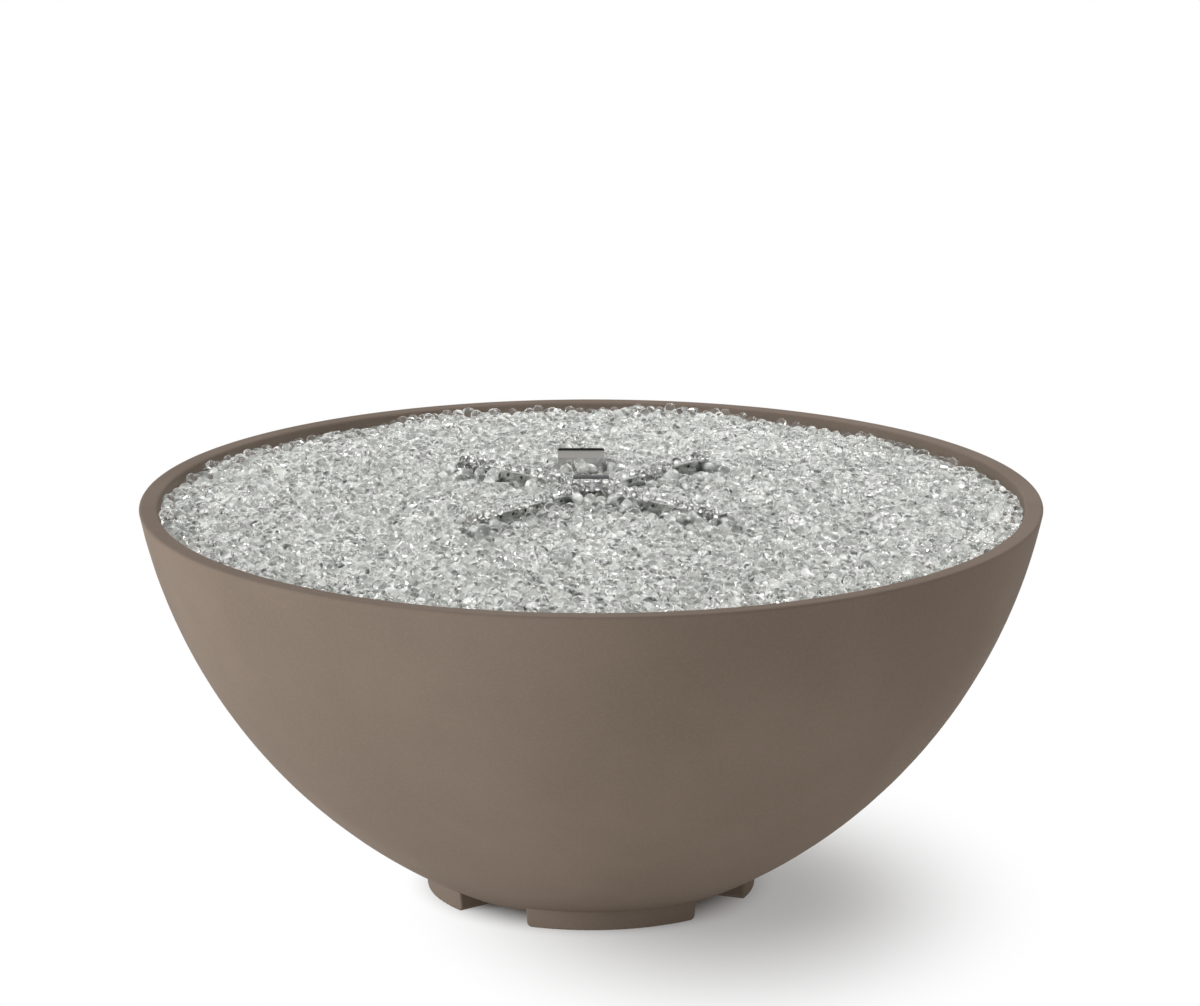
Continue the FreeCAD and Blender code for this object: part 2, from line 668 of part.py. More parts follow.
def burner_tray():
    hole = COUPLING_RADIUS + SEAT_GAP
    edge = TRAY_RADIUS
    top = LEDGE_TOP + TRAY_LIP
    pan = turned([(hole, LEDGE_TOP), (edge, LEDGE_TOP), (edge, top), (edge - SHEET, top),
                  (edge - SHEET, DECK), (hole, DECK)])
    pan = pan.makeFillet(TRAY_BEND, circle_edges(pan, edge, LEDGE_TOP))
    pan = pan.makeFillet(TRAY_BEND - SHEET, circle_edges(pan, edge - SHEET, DECK))
    cuts = []
    for k in range(DRAIN_COUNT):
        x, y = polar(TRAY_RADIUS * DRAIN_SHARE, 360 * (k + 0.5) / DRAIN_COUNT)
        cuts.append(cylinder(DRAIN_RADIUS, LEDGE_TOP - 1, DECK + 1, x, y))
    for x, y in tray_screw_places() + stand_screw_places() + pilot_screw_places():
        cuts.append(screw_hole(LEDGE_TOP - 1, DECK + 1, x, y))
    cuts.append(rounded_block(DECK_SLOT_LENGTH, DECK_SLOT_WIDTH, DECK_SLOT_WIDTH / 3,
                              LEDGE_TOP - 1, DECK + 1, PILOT_X, PILOT_Y))
    return pan.cut(cuts)


def tray_stiffener(y):
    wide = STIFFENER_WIDTH / 2
    crown = STIFFENER_CROWN / 2
    sheet = STIFFENER_SHEET
    top = LEDGE_TOP
    low = LEDGE_TOP - STIFFENER_DEPTH
    half = [(crown - 2 * sheet, low + sheet), (crown - sheet, top), (wide, top),
            (wide, top - sheet), (crown, top - sheet), (crown - sheet, low)]
    hat = folded(mirrored(half), STIFFENER_LENGTH, -STIFFENER_LENGTH / 2)
    return moved(hat, 0, y)


def tray_stiffeners():
    return [tray_stiffener(side * STIFFENER_OFFSET) for side in (-1, 1)]


def tray_screws():
    return [moved(screw(TRAY_SCREW_LENGTH - 1), x, y, DECK) for x, y in tray_screw_places()]


# Glass bed: one closed solid of the outer form of the loose beads
def glass_height(radius, edge_r):
    return GLASS_TOP - GLASS_CROWN * (radius / edge_r) ** 2


def glass_heap(x, y, half, even):
    top = even + HEAP_PROUD
    side = even - HEAP_HOLLOW - HEAP_ROOT
    ball = (half ** 2 + (top - side) ** 2) / (2 * (top - side))
    turn = math.asin(half / ball) / 2
    middle = V(ball * math.sin(turn), 0, top - ball * (1 - math.cos(turn)))
    heap = revolved([
        line((0, side - HEAP_ROOT), (half, side - HEAP_ROOT)),
        line((half, side - HEAP_ROOT), (half, side)),
        Part.Arc(V(half, 0, side), middle, V(0, 0, top)).toShape(),
        line((0, top), (0, side - HEAP_ROOT)),
    ])
    return moved(heap, x, y)


def glass_heaps(edge_r):
    heaps = []
    for ring in range(int(edge_r / HEAP_PITCH)):
        radius = edge_r - HEAP_PITCH * (ring + 0.5)
        even = glass_height(radius, edge_r)
        count = int(2 * math.pi * radius / HEAP_PITCH)
        for k in range(count):
            narrower = (1 - HEAP_NARROWEST) * (len(heaps) * HEAP_STEP % 1)
            x, y = polar(radius, 360 * k / count + ring * HEAP_TURN)
            heaps.append(glass_heap(x, y, HEAP_WIDTH / 2 * (1 - narrower), even))
    return heaps


def glass_bed(edge_r, depth):
    foot_z = LEDGE_TOP + SEAT_GAP
    floor = DECK + SEAT_GAP
    lip_top = LEDGE_TOP + TRAY_LIP + SEAT_GAP
    inner = TRAY_RADIUS - SHEET - SEAT_GAP
    outer = TRAY_RADIUS + SEAT_GAP
    edge = GLASS_EDGE - HEAP_HOLLOW
    top = GLASS_TOP - HEAP_HOLLOW
    hollow_r = wall_radius(edge, depth)
    middle = V(hollow_r / 2, 0, top - GLASS_CROWN / 4)
    return revolved([
        line((0, floor), (inner - TRAY_BEND, floor)),
        line((inner - TRAY_BEND, floor), (inner, floor + TRAY_BEND)),
        line((inner, floor + TRAY_BEND), (inner, lip_top)),
        line((inner, lip_top), (outer, lip_top)),
        line((outer, lip_top), (outer, foot_z)),
        line((outer, foot_z), (wall_radius(foot_z, depth), foot_z)),
        wall_arc(foot_z, edge, depth),
        Part.Arc(V(hollow_r, 0, edge), middle, V(0, 0, top)).toShape(),
        line((0, top), (0, floor)),
    ])


def glass_slots():
    high = HOOD_TOP + 1
    slots = []
    for angle in ARM_ANGLES[:2]:
        slot = block(2 * (ARM_REACH + GLASS_GAP), ARM_WIDTH + 2 * GLASS_GAP, LEDGE_TOP, high)
        slots.append(spun(slot, angle))
    hub = HUB_WIDTH + 2 * GLASS_GAP
    slots.append(spun(block(hub, hub, LEDGE_TOP, high), BURNER_TURN))
    slots.append(cylinder(LOCKNUT_WIDTH / math.sqrt(3) + GLASS_GAP, LEDGE_TOP, DECK + LOCKNUT_HEIGHT + 1))
    slots.append(block(HOOD_WIDTH + 2 * GLASS_GAP, HOOD_DEPTH + 2 * GLASS_GAP,
                       LEDGE_TOP, high, PILOT_X, PILOT_Y))
    slots.append(block(HOOD_WIDTH + 2 * (HOOD_FLANGE + GLASS_GAP), HOOD_DEPTH + 2 * GLASS_GAP,
                       LEDGE_TOP, DECK + SCREW_HEAD_HEIGHT + HOOD_SHEET + 1, PILOT_X, PILOT_Y))
    for x, y in tray_screw_places():
        slots.append(cylinder(SCREW_HEAD_RADIUS + GLASS_GAP, LEDGE_TOP, DECK + SCREW_HEAD_HEIGHT + 1, x, y))
    for x, y in stand_screw_places():
        top = DECK + STAND_SHEET + SCREW_HEAD_HEIGHT + 1
        slots.append(cylinder(SCREW_HEAD_RADIUS + GLASS_GAP, LEDGE_TOP, top, x, y))
    return slots


def fire_glass():
    depth = WALL + GLASS_GAP
    edge_r = wall_radius(GLASS_EDGE, depth)
    bed = glass_bed(edge_r, depth)
    return bed.fuse(glass_heaps(edge_r)).cut(glass_slots())


# Burner
def burner_arm():
    start = HUB_WIDTH / 2
    end = ARM_REACH - CAP_SHEET
    middle = (start + end) / 2
    length = end - start
    tube = block(length, ARM_WIDTH, ARM_BOTTOM, ARM_TOP, middle)
    along = [e for e in tube.Edges if abs(e.Vertexes[0].X - e.Vertexes[1].X) > TOUCH]
    tube = tube.makeFillet(ARM_ROUND, along)
    bore = block(length + 2, ARM_WIDTH - 2 * ARM_SHEET, ARM_BOTTOM + ARM_SHEET, ARM_TOP - ARM_SHEET, middle)
    ports = []
    for k in range(PORT_COUNT):
        base = V(PORT_FIRST + k * PORT_PITCH, -ARM_WIDTH, ARM_TOP - PORT_DROP - PORT_RADIUS)
        ports.append(Part.makeCylinder(PORT_RADIUS, 2 * ARM_WIDTH, base, BACKWARD))
    return tube.cut([bore] + ports)


def arm_cap():
    cap = block(CAP_SHEET, ARM_WIDTH, ARM_BOTTOM, ARM_TOP, ARM_REACH - CAP_SHEET / 2)
    face_edges = [e for e in cap.Edges if e.BoundBox.XMin > ARM_REACH - TOUCH - 0.01]
    return cap.makeFillet(ARM_ROUND * 0.8, face_edges)


def on_arms(shape):
    return [spun(shape, angle) for angle in ARM_ANGLES]


def burner_hub():
    hub = rounded_block(HUB_WIDTH, HUB_WIDTH, ARM_ROUND, ARM_BOTTOM, ARM_TOP)
    inside = HUB_WIDTH - 2 * HUB_SHEET
    cuts = [block(inside, inside, ARM_BOTTOM + HUB_SHEET, ARM_TOP - HUB_SHEET)]
    cuts.append(cylinder(COUPLING_BORE, ARM_BOTTOM - 1, ARM_BOTTOM + HUB_SHEET + 1))
    wide = ARM_WIDTH - 2 * ARM_SHEET
    for turn in (0, 90):
        way = block(HUB_WIDTH + 2, wide, ARM_BOTTOM + ARM_SHEET + HUB_SHEET, ARM_TOP - ARM_SHEET - HUB_SHEET)
        cuts.append(spun(way, turn))
    return spun(hub.cut(cuts), BURNER_TURN)


def hub_bridge():
    top = ARM_TOP + BRIDGE_HEIGHT
    strap = block(BRIDGE_WIDTH, BRIDGE_DEPTH, ARM_TOP, top)
    inside = block(BRIDGE_WIDTH - 2 * BRIDGE_SHEET, BRIDGE_DEPTH + 2, ARM_TOP - 1, top - BRIDGE_SHEET)
    strap = strap.makeFillet(BRIDGE_ROUND, top_edges_along_y(strap, top))
    inside = inside.makeFillet(BRIDGE_ROUND - BRIDGE_SHEET, top_edges_along_y(inside, top - BRIDGE_SHEET))
    return strap.cut(inside)


def top_edges_along_y(shape, top):
    found = []
    for edge in shape.Edges:
        a, b = edge.Vertexes[0], edge.Vertexes[-1]
        if abs(a.Z - top) < TOUCH and abs(b.Z - top) < TOUCH and abs(a.X - b.X) < TOUCH:
            found.append(edge)
    return found


def burner_stand():
    top = ARM_BOTTOM
    sheet = STAND_SHEET
    outline = [(0, DECK), (STAND_BASE, DECK), (STAND_BASE, DECK + sheet), (sheet, DECK + sheet),
               (sheet, top - sheet), (STAND_TOP, top - sheet), (STAND_TOP, top), (0, top)]
    bracket = folded(outline, STAND_WIDTH, -STAND_WIDTH / 2)
    bracket = moved(spun(bracket, -90), STAND_REACH, 0)
    return bracket.cut(screw_hole(DECK - 1, DECK + sheet + 1, STAND_REACH + STAND_SCREW, 0))


def stand_screws():
    length = SHEET + STAND_SHEET + SCREW_PAST
    return [moved(screw(length), x, y, DECK + STAND_SHEET) for x, y in stand_screw_places()]


# Coupling, mixer, shutter and orifice
def hub_coupling():
    return cylinder(COUPLING_RADIUS, COUPLING_END, ARM_BOTTOM).cut(
        cylinder(COUPLING_BORE, COUPLING_END - 1, ARM_BOTTOM + 1))


def coupling_locknuts():
    bore = COUPLING_RADIUS + RUN_GAP
    upper = hexagon(LOCKNUT_WIDTH, DECK, DECK + LOCKNUT_HEIGHT, bore)
    lower = hexagon(LOCKNUT_WIDTH, LEDGE_TOP - LOCKNUT_HEIGHT, LEDGE_TOP, bore)
    return [upper, lower]


def window_cutter(radius):
    bottom = MIXER_BOTTOM + WINDOW_LIFT
    body = block(2 * radius + 4, WINDOW_WIDTH, bottom, bottom + WINDOW_HEIGHT)
    along = [e for e in body.Edges if abs(e.Vertexes[0].X - e.Vertexes[1].X) > TOUCH]
    return body.makeFillet(WINDOW_WIDTH / 4, along)


def air_mixer():
    socket_bottom = COUPLING_END - MIXER_SOCKET
    collar_top = MIXER_BOTTOM + COLLAR_HEIGHT
    spud = ORIFICE_RADIUS + RUN_GAP
    floor = MIXER_BOTTOM + MIXER_END
    outline = [(spud, MIXER_BOTTOM), (COLLAR_RADIUS, MIXER_BOTTOM),
               (COLLAR_RADIUS, collar_top), (MIXER_RADIUS, collar_top),
               (MIXER_RADIUS, socket_bottom - MIXER_TAPER), (MIXER_SOCKET_RADIUS, socket_bottom),
               (MIXER_SOCKET_RADIUS, COUPLING_END + MIXER_SOCKET),
               (COUPLING_RADIUS + RUN_GAP, COUPLING_END + MIXER_SOCKET),
               (COUPLING_RADIUS + RUN_GAP, COUPLING_END), (COUPLING_BORE, COUPLING_END),
               (COUPLING_BORE, floor), (spud, floor)]
    return turned(outline).cut(window_cutter(MIXER_RADIUS))


def air_shutter():
    inner = MIXER_RADIUS + RUN_GAP
    outer = inner + SHUTTER_SHEET
    bottom = MIXER_BOTTOM + COLLAR_HEIGHT + SEAT_GAP
    top = bottom + SHUTTER_LENGTH
    centre = V(0, 0, SHUTTER_BOSS_Z)
    boss = Part.makeCylinder(SHUTTER_BOSS_RADIUS, outer + SHUTTER_BOSS_LENGTH, centre, FORWARD)
    hole = Part.makeCylinder(SCREW_RADIUS + RUN_GAP, outer + 2 * SHUTTER_BOSS_LENGTH, centre, FORWARD)
    sleeve = cylinder(outer, bottom, top).fuse(boss)
    return sleeve.cut([cylinder(inner, bottom - 1, top + 1), hole, window_cutter(outer)])


def shutter_screw():
    start = MIXER_RADIUS + RUN_GAP + SHUTTER_SHEET + SHUTTER_BOSS_LENGTH
    shank = cylinder(SCREW_RADIUS, MIXER_RADIUS + SEAT_GAP, start)
    head = cylinder(THUMB_RADIUS, start, start + THUMB_LENGTH)
    notches = []
    for k in range(THUMB_NOTCHES):
        x, y = polar(THUMB_RADIUS, 360 * k / THUMB_NOTCHES)
        notches.append(cylinder(THUMB_NOTCH_RADIUS, start - 1, start + THUMB_LENGTH + 1, x, y))
    return aimed(shank.fuse(head.cut(notches)), V(0, 0, SHUTTER_BOSS_Z), FORWARD)


def gas_orifice():
    body = cylinder(ORIFICE_RADIUS, ELBOW_TOP, ORIFICE_TOP)
    body = body.fuse(hexagon(ORIFICE_HEX, ELBOW_TOP, MIXER_BOTTOM))
    return body.cut(cylinder(ORIFICE_BORE, ELBOW_TOP - 1, ORIFICE_TOP + 1))


def orifice_elbow():
    body = rounded_block(ELBOW_WIDTH, ELBOW_WIDTH, BLOCK_ROUND, ELBOW_TOP - ELBOW_WIDTH, ELBOW_TOP)
    nose = aimed(flare(FLARE_REACH), V(0, 0, ELBOW_Z), BACKWARD)
    up_bore = cylinder(GAS_BORE, ELBOW_Z, ELBOW_TOP + 1)
    side_bore = Part.makeCylinder(GAS_BORE, FLARE_REACH + 1, V(0, 0, ELBOW_Z), BACKWARD)
    return body.fuse(nose).cut([up_bore, side_bore])


# Pilot
def pilot_hood():
    centre = (PILOT_X, PILOT_Y)
    hood = rounded_block(HOOD_WIDTH, HOOD_DEPTH, HOOD_ROUND, DECK, HOOD_TOP, *centre)
    inside = block(HOOD_WIDTH - 2 * HOOD_SHEET, HOOD_DEPTH - 2 * HOOD_SHEET,
                   DECK - 1, HOOD_TOP - HOOD_SHEET, *centre)
    low = ARM_TOP - HOOD_WINDOW_HEIGHT / 2
    window = block(HOOD_WIDTH + 2, HOOD_WINDOW_WIDTH, low, low + HOOD_WINDOW_HEIGHT, *centre)
    hood = hood.cut([inside, window])
    sheet_top = DECK + HOOD_SHEET
    flanges = block(HOOD_WIDTH + 2 * HOOD_FLANGE, HOOD_DEPTH * HOOD_FLANGE_SHARE, DECK, sheet_top, *centre)
    flanges = flanges.cut(block(HOOD_WIDTH - 2 * HOOD_SHEET, HOOD_DEPTH, DECK - 1, sheet_top + 1, *centre))
    tab = block(HOOD_WIDTH * HOOD_TAB_SHARE, HOOD_SHEET, HOOD_TOP - HOOD_SHEET, HOOD_TOP + HOOD_TAB,
                PILOT_X, PILOT_Y + (HOOD_DEPTH - HOOD_SHEET) / 2)
    return hood.fuse([flanges, tab]).removeSplitter()


def pilot_places():
    return [(PILOT_X + k * PILOT_SPREAD, PILOT_Y) for k in (-1, 0, 1)]


def pilot_bracket():
    plate = rounded_block(BRACKET_LENGTH, BRACKET_WIDTH, BRACKET_CORNER, DECK, BRACKET_TOP, PILOT_X, PILOT_Y)
    holes = [screw_hole(DECK - 1, BRACKET_TOP + 1, x, y) for x, y in pilot_screw_places()]
    radii = (INSULATOR_RADIUS, NOZZLE_RADIUS, THERMO_RADIUS)
    for (x, y), radius in zip(pilot_places(), radii):
        holes.append(cylinder(radius + RUN_GAP, DECK - 1, BRACKET_TOP + 1, x, y))
    return plate.cut(holes)


def pilot_screws():
    length = BRACKET_SHEET + SHEET + SCREW_PAST
    return [moved(screw(length), x, y, BRACKET_TOP) for x, y in pilot_screw_places()]


def pilot_piece(place, radius, rise, collar_radius):
    x, y = place
    body = cylinder(radius, PROBE_END, BRACKET_TOP + rise, x, y)
    collar = cylinder(collar_radius, BRACKET_TOP, BRACKET_TOP + PROBE_COLLAR, x, y)
    return body.fuse(collar)


def pilot_nozzle():
    x, y = pilot_places()[1]
    top = BRACKET_TOP + NOZZLE_RISE
    body = cylinder(NOZZLE_RADIUS, PROBE_END, top, x, y)
    body = body.makeChamfer(NOZZLE_CHAMFER, circle_edges(body, NOZZLE_RADIUS, top))
    nut = moved(hexagon(NOZZLE_HEX, BRACKET_TOP, BRACKET_TOP + PROBE_COLLAR), x, y)
    start = V(x - 2 * NOZZLE_RADIUS, y, top - NOZZLE_PORT_DROP)
    ports = Part.makeCylinder(NOZZLE_PORT, 4 * NOZZLE_RADIUS, start, V(1, 0, 0))
    bore = cylinder(NOZZLE_BORE, BRACKET_TOP, top - NOZZLE_CROWN, x, y)
    return body.fuse(nut).cut([bore, ports])


def electrode_insulator():
    place = pilot_places()[0]
    return pilot_piece(place, INSULATOR_RADIUS, INSULATOR_RISE, PROBE_COLLAR_RADIUS)


def electrode_rod():
    x, y = pilot_places()[0]
    foot_z = BRACKET_TOP + INSULATOR_RISE
    tip = foot_z + ROD_RISE
    upright = cylinder(ROD_RADIUS, foot_z, tip, x, y)
    ball = Part.makeSphere(ROD_RADIUS, V(x, y, tip))
    across = Part.makeCylinder(ROD_RADIUS, ROD_BEND, V(x, y, tip), V(1, 0, 0))
    return upright.fuse([ball, across])


def thermocouple_tip():
    place = pilot_places()[2]
    body = pilot_piece(place, THERMO_RADIUS, THERMO_RISE, PROBE_COLLAR_RADIUS)
    return body.makeFillet(THERMO_RADIUS * 0.7, circle_edges(body, THERMO_RADIUS, BRACKET_TOP + THERMO_RISE))


# Control panel and its box
def control_panel():
    plate = rounded_block(PANEL_WIDTH, PANEL_HEIGHT, PANEL_CORNER, 0, PANEL_SHEET)
    holes = [screw_hole(-1, PANEL_SHEET + 1, x, y) for x, y in panel_screw_places()]
    holes += [screw_hole(-1, PANEL_SHEET + 1, x, 0) for x in bonnet_screw_places()]
    holes.append(cylinder(STEM_RADIUS + 1, -1, PANEL_SHEET + 1, VALVE_X))
    holes.append(cylinder(BARREL_RADIUS + SCREW_GAP, -1, PANEL_SHEET + 1, IGNITER_X))
    return on_panel(plate.cut(holes))


def panel_screws():
    return [on_panel(moved(screw(PANEL_SCREW_LENGTH + PANEL_SHEET - 1), x, y, PANEL_SHEET))
            for x, y in panel_screw_places()]


def module_centre():
    x = BOX_WIDTH / 2 - BOX_SHEET - BOX_CORNER - MODULE_WIDTH / 2
    y = -BOX_HEIGHT / 2 + BOX_SHEET + MODULE_HEIGHT / 2
    return x, y


def grommet_places():
    return [(VALVE_X + PILOT_OUTLET_REACH, 0, PILOT_TUBE_RADIUS),
            (VALVE_X, 0, LEAD_RADIUS),
            (*module_centre(), WIRE_RADIUS)]


def control_box():
    body = rounded_block(BOX_WIDTH, BOX_HEIGHT, BOX_CORNER, -BOX_DEPTH, 0)
    inside = rounded_block(BOX_WIDTH - 2 * BOX_SHEET, BOX_HEIGHT - 2 * BOX_SHEET, BOX_CORNER - BOX_SHEET,
                           -BOX_DEPTH + BOX_SHEET, 1)
    side_hole = Part.makeCylinder(FLARE_RADIUS + 1, BOX_WIDTH / 2, V(0, 0, -OUTLET_DEPTH), V(-1, 0, 0))
    side_hole = moved(side_hole, VALVE_X, 0)
    low_hole = Part.makeCylinder(FLARE_RADIUS + 1, BOX_HEIGHT, V(VALVE_X, 0, -INLET_DEPTH), V(0, -1, 0))
    cuts = [inside, side_hole, low_hole]
    for x, y, _ in grommet_places():
        cuts.append(cylinder(GROMMET_RADIUS - GROMMET_LIP, -BOX_DEPTH - 1, -BOX_DEPTH + BOX_SHEET + 1, x, y))
    return on_panel(body.cut(cuts))


def box_grommets():
    grommets = []
    low = -BOX_DEPTH
    top = low + BOX_SHEET
    neck = GROMMET_RADIUS - GROMMET_LIP
    for x, y, bore in grommet_places():
        hole = bore + RUN_GAP
        outline = [(hole, low - GROMMET_FLANGE), (GROMMET_RADIUS, low - GROMMET_FLANGE),
                   (GROMMET_RADIUS, low), (neck, low), (neck, top), (GROMMET_RADIUS, top),
                   (GROMMET_RADIUS, top + GROMMET_FLANGE), (hole, top + GROMMET_FLANGE)]
        grommets.append(on_panel(moved(turned(outline), x, y)))
    return grommets


# Valve
def at_valve(shape):
    return on_panel(moved(shape, VALVE_X, 0))


def bonnet_screw_places():
    return [VALVE_X - BONNET_SCREW, VALVE_X + BONNET_SCREW]


def d_section(radius, flat, bottom, top):
    keep = block(4 * radius, 2 * radius, bottom, top, 0, flat - radius)
    return cylinder(radius, bottom, top).common(keep)


def control_knob():
    low = PANEL_SHEET + KNOB_LIFT
    top = low + KNOB_HEIGHT
    skirt_top = low + KNOB_SKIRT
    grip_top = KNOB_GRIP_RADIUS - KNOB_DRAFT
    knob = turned([(0, low), (KNOB_RADIUS, low), (KNOB_RADIUS - KNOB_EDGE, skirt_top - KNOB_EDGE),
                   (KNOB_RADIUS - KNOB_SHOULDER, skirt_top), (KNOB_GRIP_RADIUS, skirt_top + KNOB_EDGE),
                   (grip_top, top), (0, top)])
    knob = knob.makeFillet(KNOB_ROUND, circle_edges(knob, grip_top, top))
    cuts = []
    for k in range(KNOB_FLUTES):
        x, y = polar(KNOB_GRIP_RADIUS + KNOB_FLUTE_OUT, 90 + 360 * (k + 0.5) / KNOB_FLUTES)
        cuts.append(cylinder(KNOB_FLUTE_RADIUS, skirt_top + KNOB_EDGE, top + 1, x, y))
    cuts.append(block(KNOB_POINTER, KNOB_GRIP_RADIUS * KNOB_POINTER_SHARE, top - KNOB_POINTER_DEPTH,
                      top + 1, 0, KNOB_GRIP_RADIUS * KNOB_POINTER_OUT))
    cuts.append(d_section(STEM_RADIUS + RUN_GAP, STEM_FLAT + RUN_GAP, low - 1, STEM_UP + SEAT_GAP))
    cuts.append(turned([(KNOB_HUB_RADIUS, low - 1), (KNOB_HOLLOW_RADIUS, low - 1),
                        (KNOB_HOLLOW_RADIUS, low + KNOB_HOLLOW), (KNOB_HUB_RADIUS, low + KNOB_HOLLOW)]))
    return at_valve(knob.cut(cuts))


def valve_stem():
    collar_top = -BONNET_TOP - SEAT_GAP
    shaft = cylinder(STEM_RADIUS, -STEM_ROUND_END, PANEL_SHEET + KNOB_LIFT)
    upper = d_section(STEM_RADIUS, STEM_FLAT, PANEL_SHEET + KNOB_LIFT, STEM_UP)
    collar = cylinder(STEM_COLLAR_RADIUS, collar_top - STEM_COLLAR, collar_top)
    tang = block(TANG_BREADTH, TANG_WIDTH, -TANG_END, -STEM_ROUND_END)
    tang = tang.common(cylinder(STEM_RADIUS, -TANG_END, -STEM_ROUND_END))
    return at_valve(shaft.fuse([upper, collar, tang]).removeSplitter())


def valve_bonnet():
    body = cylinder(BONNET_RADIUS, -BONNET_DEPTH, 0)
    cuts = [cylinder(CAVITY_RADIUS, -BONNET_DEPTH - 1, -BONNET_TOP),
            cylinder(STEM_RADIUS + RUN_GAP, -BONNET_TOP - 1, 1)]
    cuts += [screw_hole(-BONNET_SCREW_LENGTH - 1, 1, x - VALVE_X) for x in bonnet_screw_places()]
    return at_valve(body.cut(cuts))


def bonnet_screws():
    length = PANEL_SHEET + BONNET_SCREW_LENGTH
    return [on_panel(moved(screw(length), x, 0, PANEL_SHEET)) for x in bonnet_screw_places()]


def valve_body():
    body = cylinder(VALVE_RADIUS, VALVE_BOTTOM, -BONNET_DEPTH)
    outlet = aimed(flare(OUTLET_REACH), V(0, 0, -OUTLET_DEPTH), V(-1, 0, 0))
    inlet = aimed(flare(INLET_REACH), V(0, 0, -INLET_DEPTH), V(0, -1, 0))
    pilot = cylinder(NOZZLE_RADIUS, VALVE_BOTTOM, -PILOT_OUTLET_DEPTH, PILOT_OUTLET_REACH)
    body = body.fuse([outlet, inlet, pilot])
    gap = RUN_GAP
    seat = turned([(0, ROTOR_BOTTOM - SEAT_GAP), (ROTOR_END_RADIUS + gap, ROTOR_BOTTOM - SEAT_GAP),
                   (ROTOR_END_RADIUS + gap, ROTOR_BOTTOM), (ROTOR_TOP_RADIUS + gap, ROTOR_TOP),
                   (ROTOR_TOP_RADIUS + gap, -BONNET_DEPTH + 1), (0, -BONNET_DEPTH + 1)])
    magnet_top = VALVE_BOTTOM + MAGNET_BORE_DEPTH
    cuts = [seat, cylinder(PASSAGE_RADIUS, VALVE_BOTTOM, ROTOR_BOTTOM),
            cylinder(MAGNET_RADIUS + RUN_GAP, VALVE_BOTTOM - 1, magnet_top),
            Part.makeCylinder(GAS_BORE, OUTLET_REACH, V(-VALVE_RADIUS, 0, -OUTLET_DEPTH), V(-1, 0, 0)),
            Part.makeCylinder(GAS_BORE, INLET_REACH, V(0, -VALVE_RADIUS, -INLET_DEPTH), V(0, -1, 0))]
    return at_valve(body.cut(cuts))


def valve_rotor():
    plug = turned([(0, ROTOR_BOTTOM), (ROTOR_END_RADIUS, ROTOR_BOTTOM),
                   (ROTOR_TOP_RADIUS, ROTOR_TOP), (0, ROTOR_TOP)])
    slot = block(TANG_BREADTH + 4 * SCREW_GAP, TANG_WIDTH + 2 * SCREW_GAP, TANG_SLOT_END, ROTOR_TOP + 1)
    way = cylinder(PUSH_ROD_RADIUS + SCREW_GAP, ROTOR_BOTTOM - 1, TANG_SLOT_END + 1)
    port_z = (TANG_SLOT_END + ROTOR_BOTTOM) / 2
    port = Part.makeCylinder(ROTOR_PORT, ROTOR_TOP_RADIUS, V(0, 0, port_z), V(0, 1, 0))
    return at_valve(plug.cut([slot, way, port]))


def valve_spring():
    top = -BONNET_TOP - SEAT_GAP - STEM_COLLAR
    return at_valve(spring("valve_spring", ROTOR_TOP, top, SPRING_RADIUS, SPRING_WIRE, SPRING_TURNS))


def valve_push_rod():
    return at_valve(cylinder(PUSH_ROD_RADIUS, -TANG_END - PUSH_ROD_LENGTH, -TANG_END))


def magnet_unit():
    nose = cylinder(MAGNET_RADIUS, VALVE_BOTTOM, MAGNET_NOSE)
    tail = cylinder(MAGNET_TAIL_RADIUS, VALVE_BOTTOM - MAGNET_LENGTH, VALVE_BOTTOM)
    grip = hexagon(MAGNET_HEX, VALVE_BOTTOM - MAGNET_LENGTH / 2, VALVE_BOTTOM)
    return at_valve(nose.fuse([tail, grip]))


# Igniter
def at_igniter(shape):
    return on_panel(moved(shape, IGNITER_X, 0))


def igniter_body():
    top = PANEL_SHEET + IGNITER_FLANGE
    barrel = cylinder(BARREL_RADIUS, -BARREL_DEPTH, PANEL_SHEET)
    flange = cylinder(IGNITER_FLANGE_RADIUS, PANEL_SHEET, top)
    flange = flange.makeFillet(IGNITER_FLANGE * 0.4, circle_edges(flange, IGNITER_FLANGE_RADIUS, top))
    cuts = [cylinder(BATTERY_RADIUS + BATTERY_GAP, -BARREL_DEPTH + BARREL_END, 0),
            cylinder(BUTTON_SKIRT_RADIUS + 2 * RUN_GAP, BUTTON_STOP, BUTTON_MOUTH),
            cylinder(BUTTON_RADIUS + 2 * RUN_GAP, 0, top + 1)]
    return at_igniter(barrel.fuse(flange).cut(cuts))


def igniter_nut():
    return at_igniter(hexagon(IGNITER_NUT_WIDTH, -IGNITER_NUT, 0, BARREL_RADIUS + RUN_GAP))


def igniter_button():
    skirt = cylinder(BUTTON_SKIRT_RADIUS, BUTTON_BOTTOM, BUTTON_BOTTOM + BUTTON_SKIRT)
    cap = cylinder(BUTTON_RADIUS, BUTTON_BOTTOM, BUTTON_TOP)
    cap = cap.makeFillet(BUTTON_ROUND, circle_edges(cap, BUTTON_RADIUS, BUTTON_TOP))
    return at_igniter(skirt.fuse(cap))


def igniter_spring():
    return at_igniter(spring("igniter_spring", BATTERY_TOP, BUTTON_BOTTOM, BUTTON_SPRING_RADIUS,
                             BUTTON_SPRING_WIRE, BUTTON_SPRING_TURNS))


def igniter_battery():
    cell = cylinder(BATTERY_RADIUS, -BARREL_DEPTH + BARREL_END, BATTERY_TOP)
    nub = cylinder(BATTERY_NUB_RADIUS, BATTERY_TOP, BATTERY_TOP + BATTERY_NUB)
    return at_igniter(cell.fuse(nub))


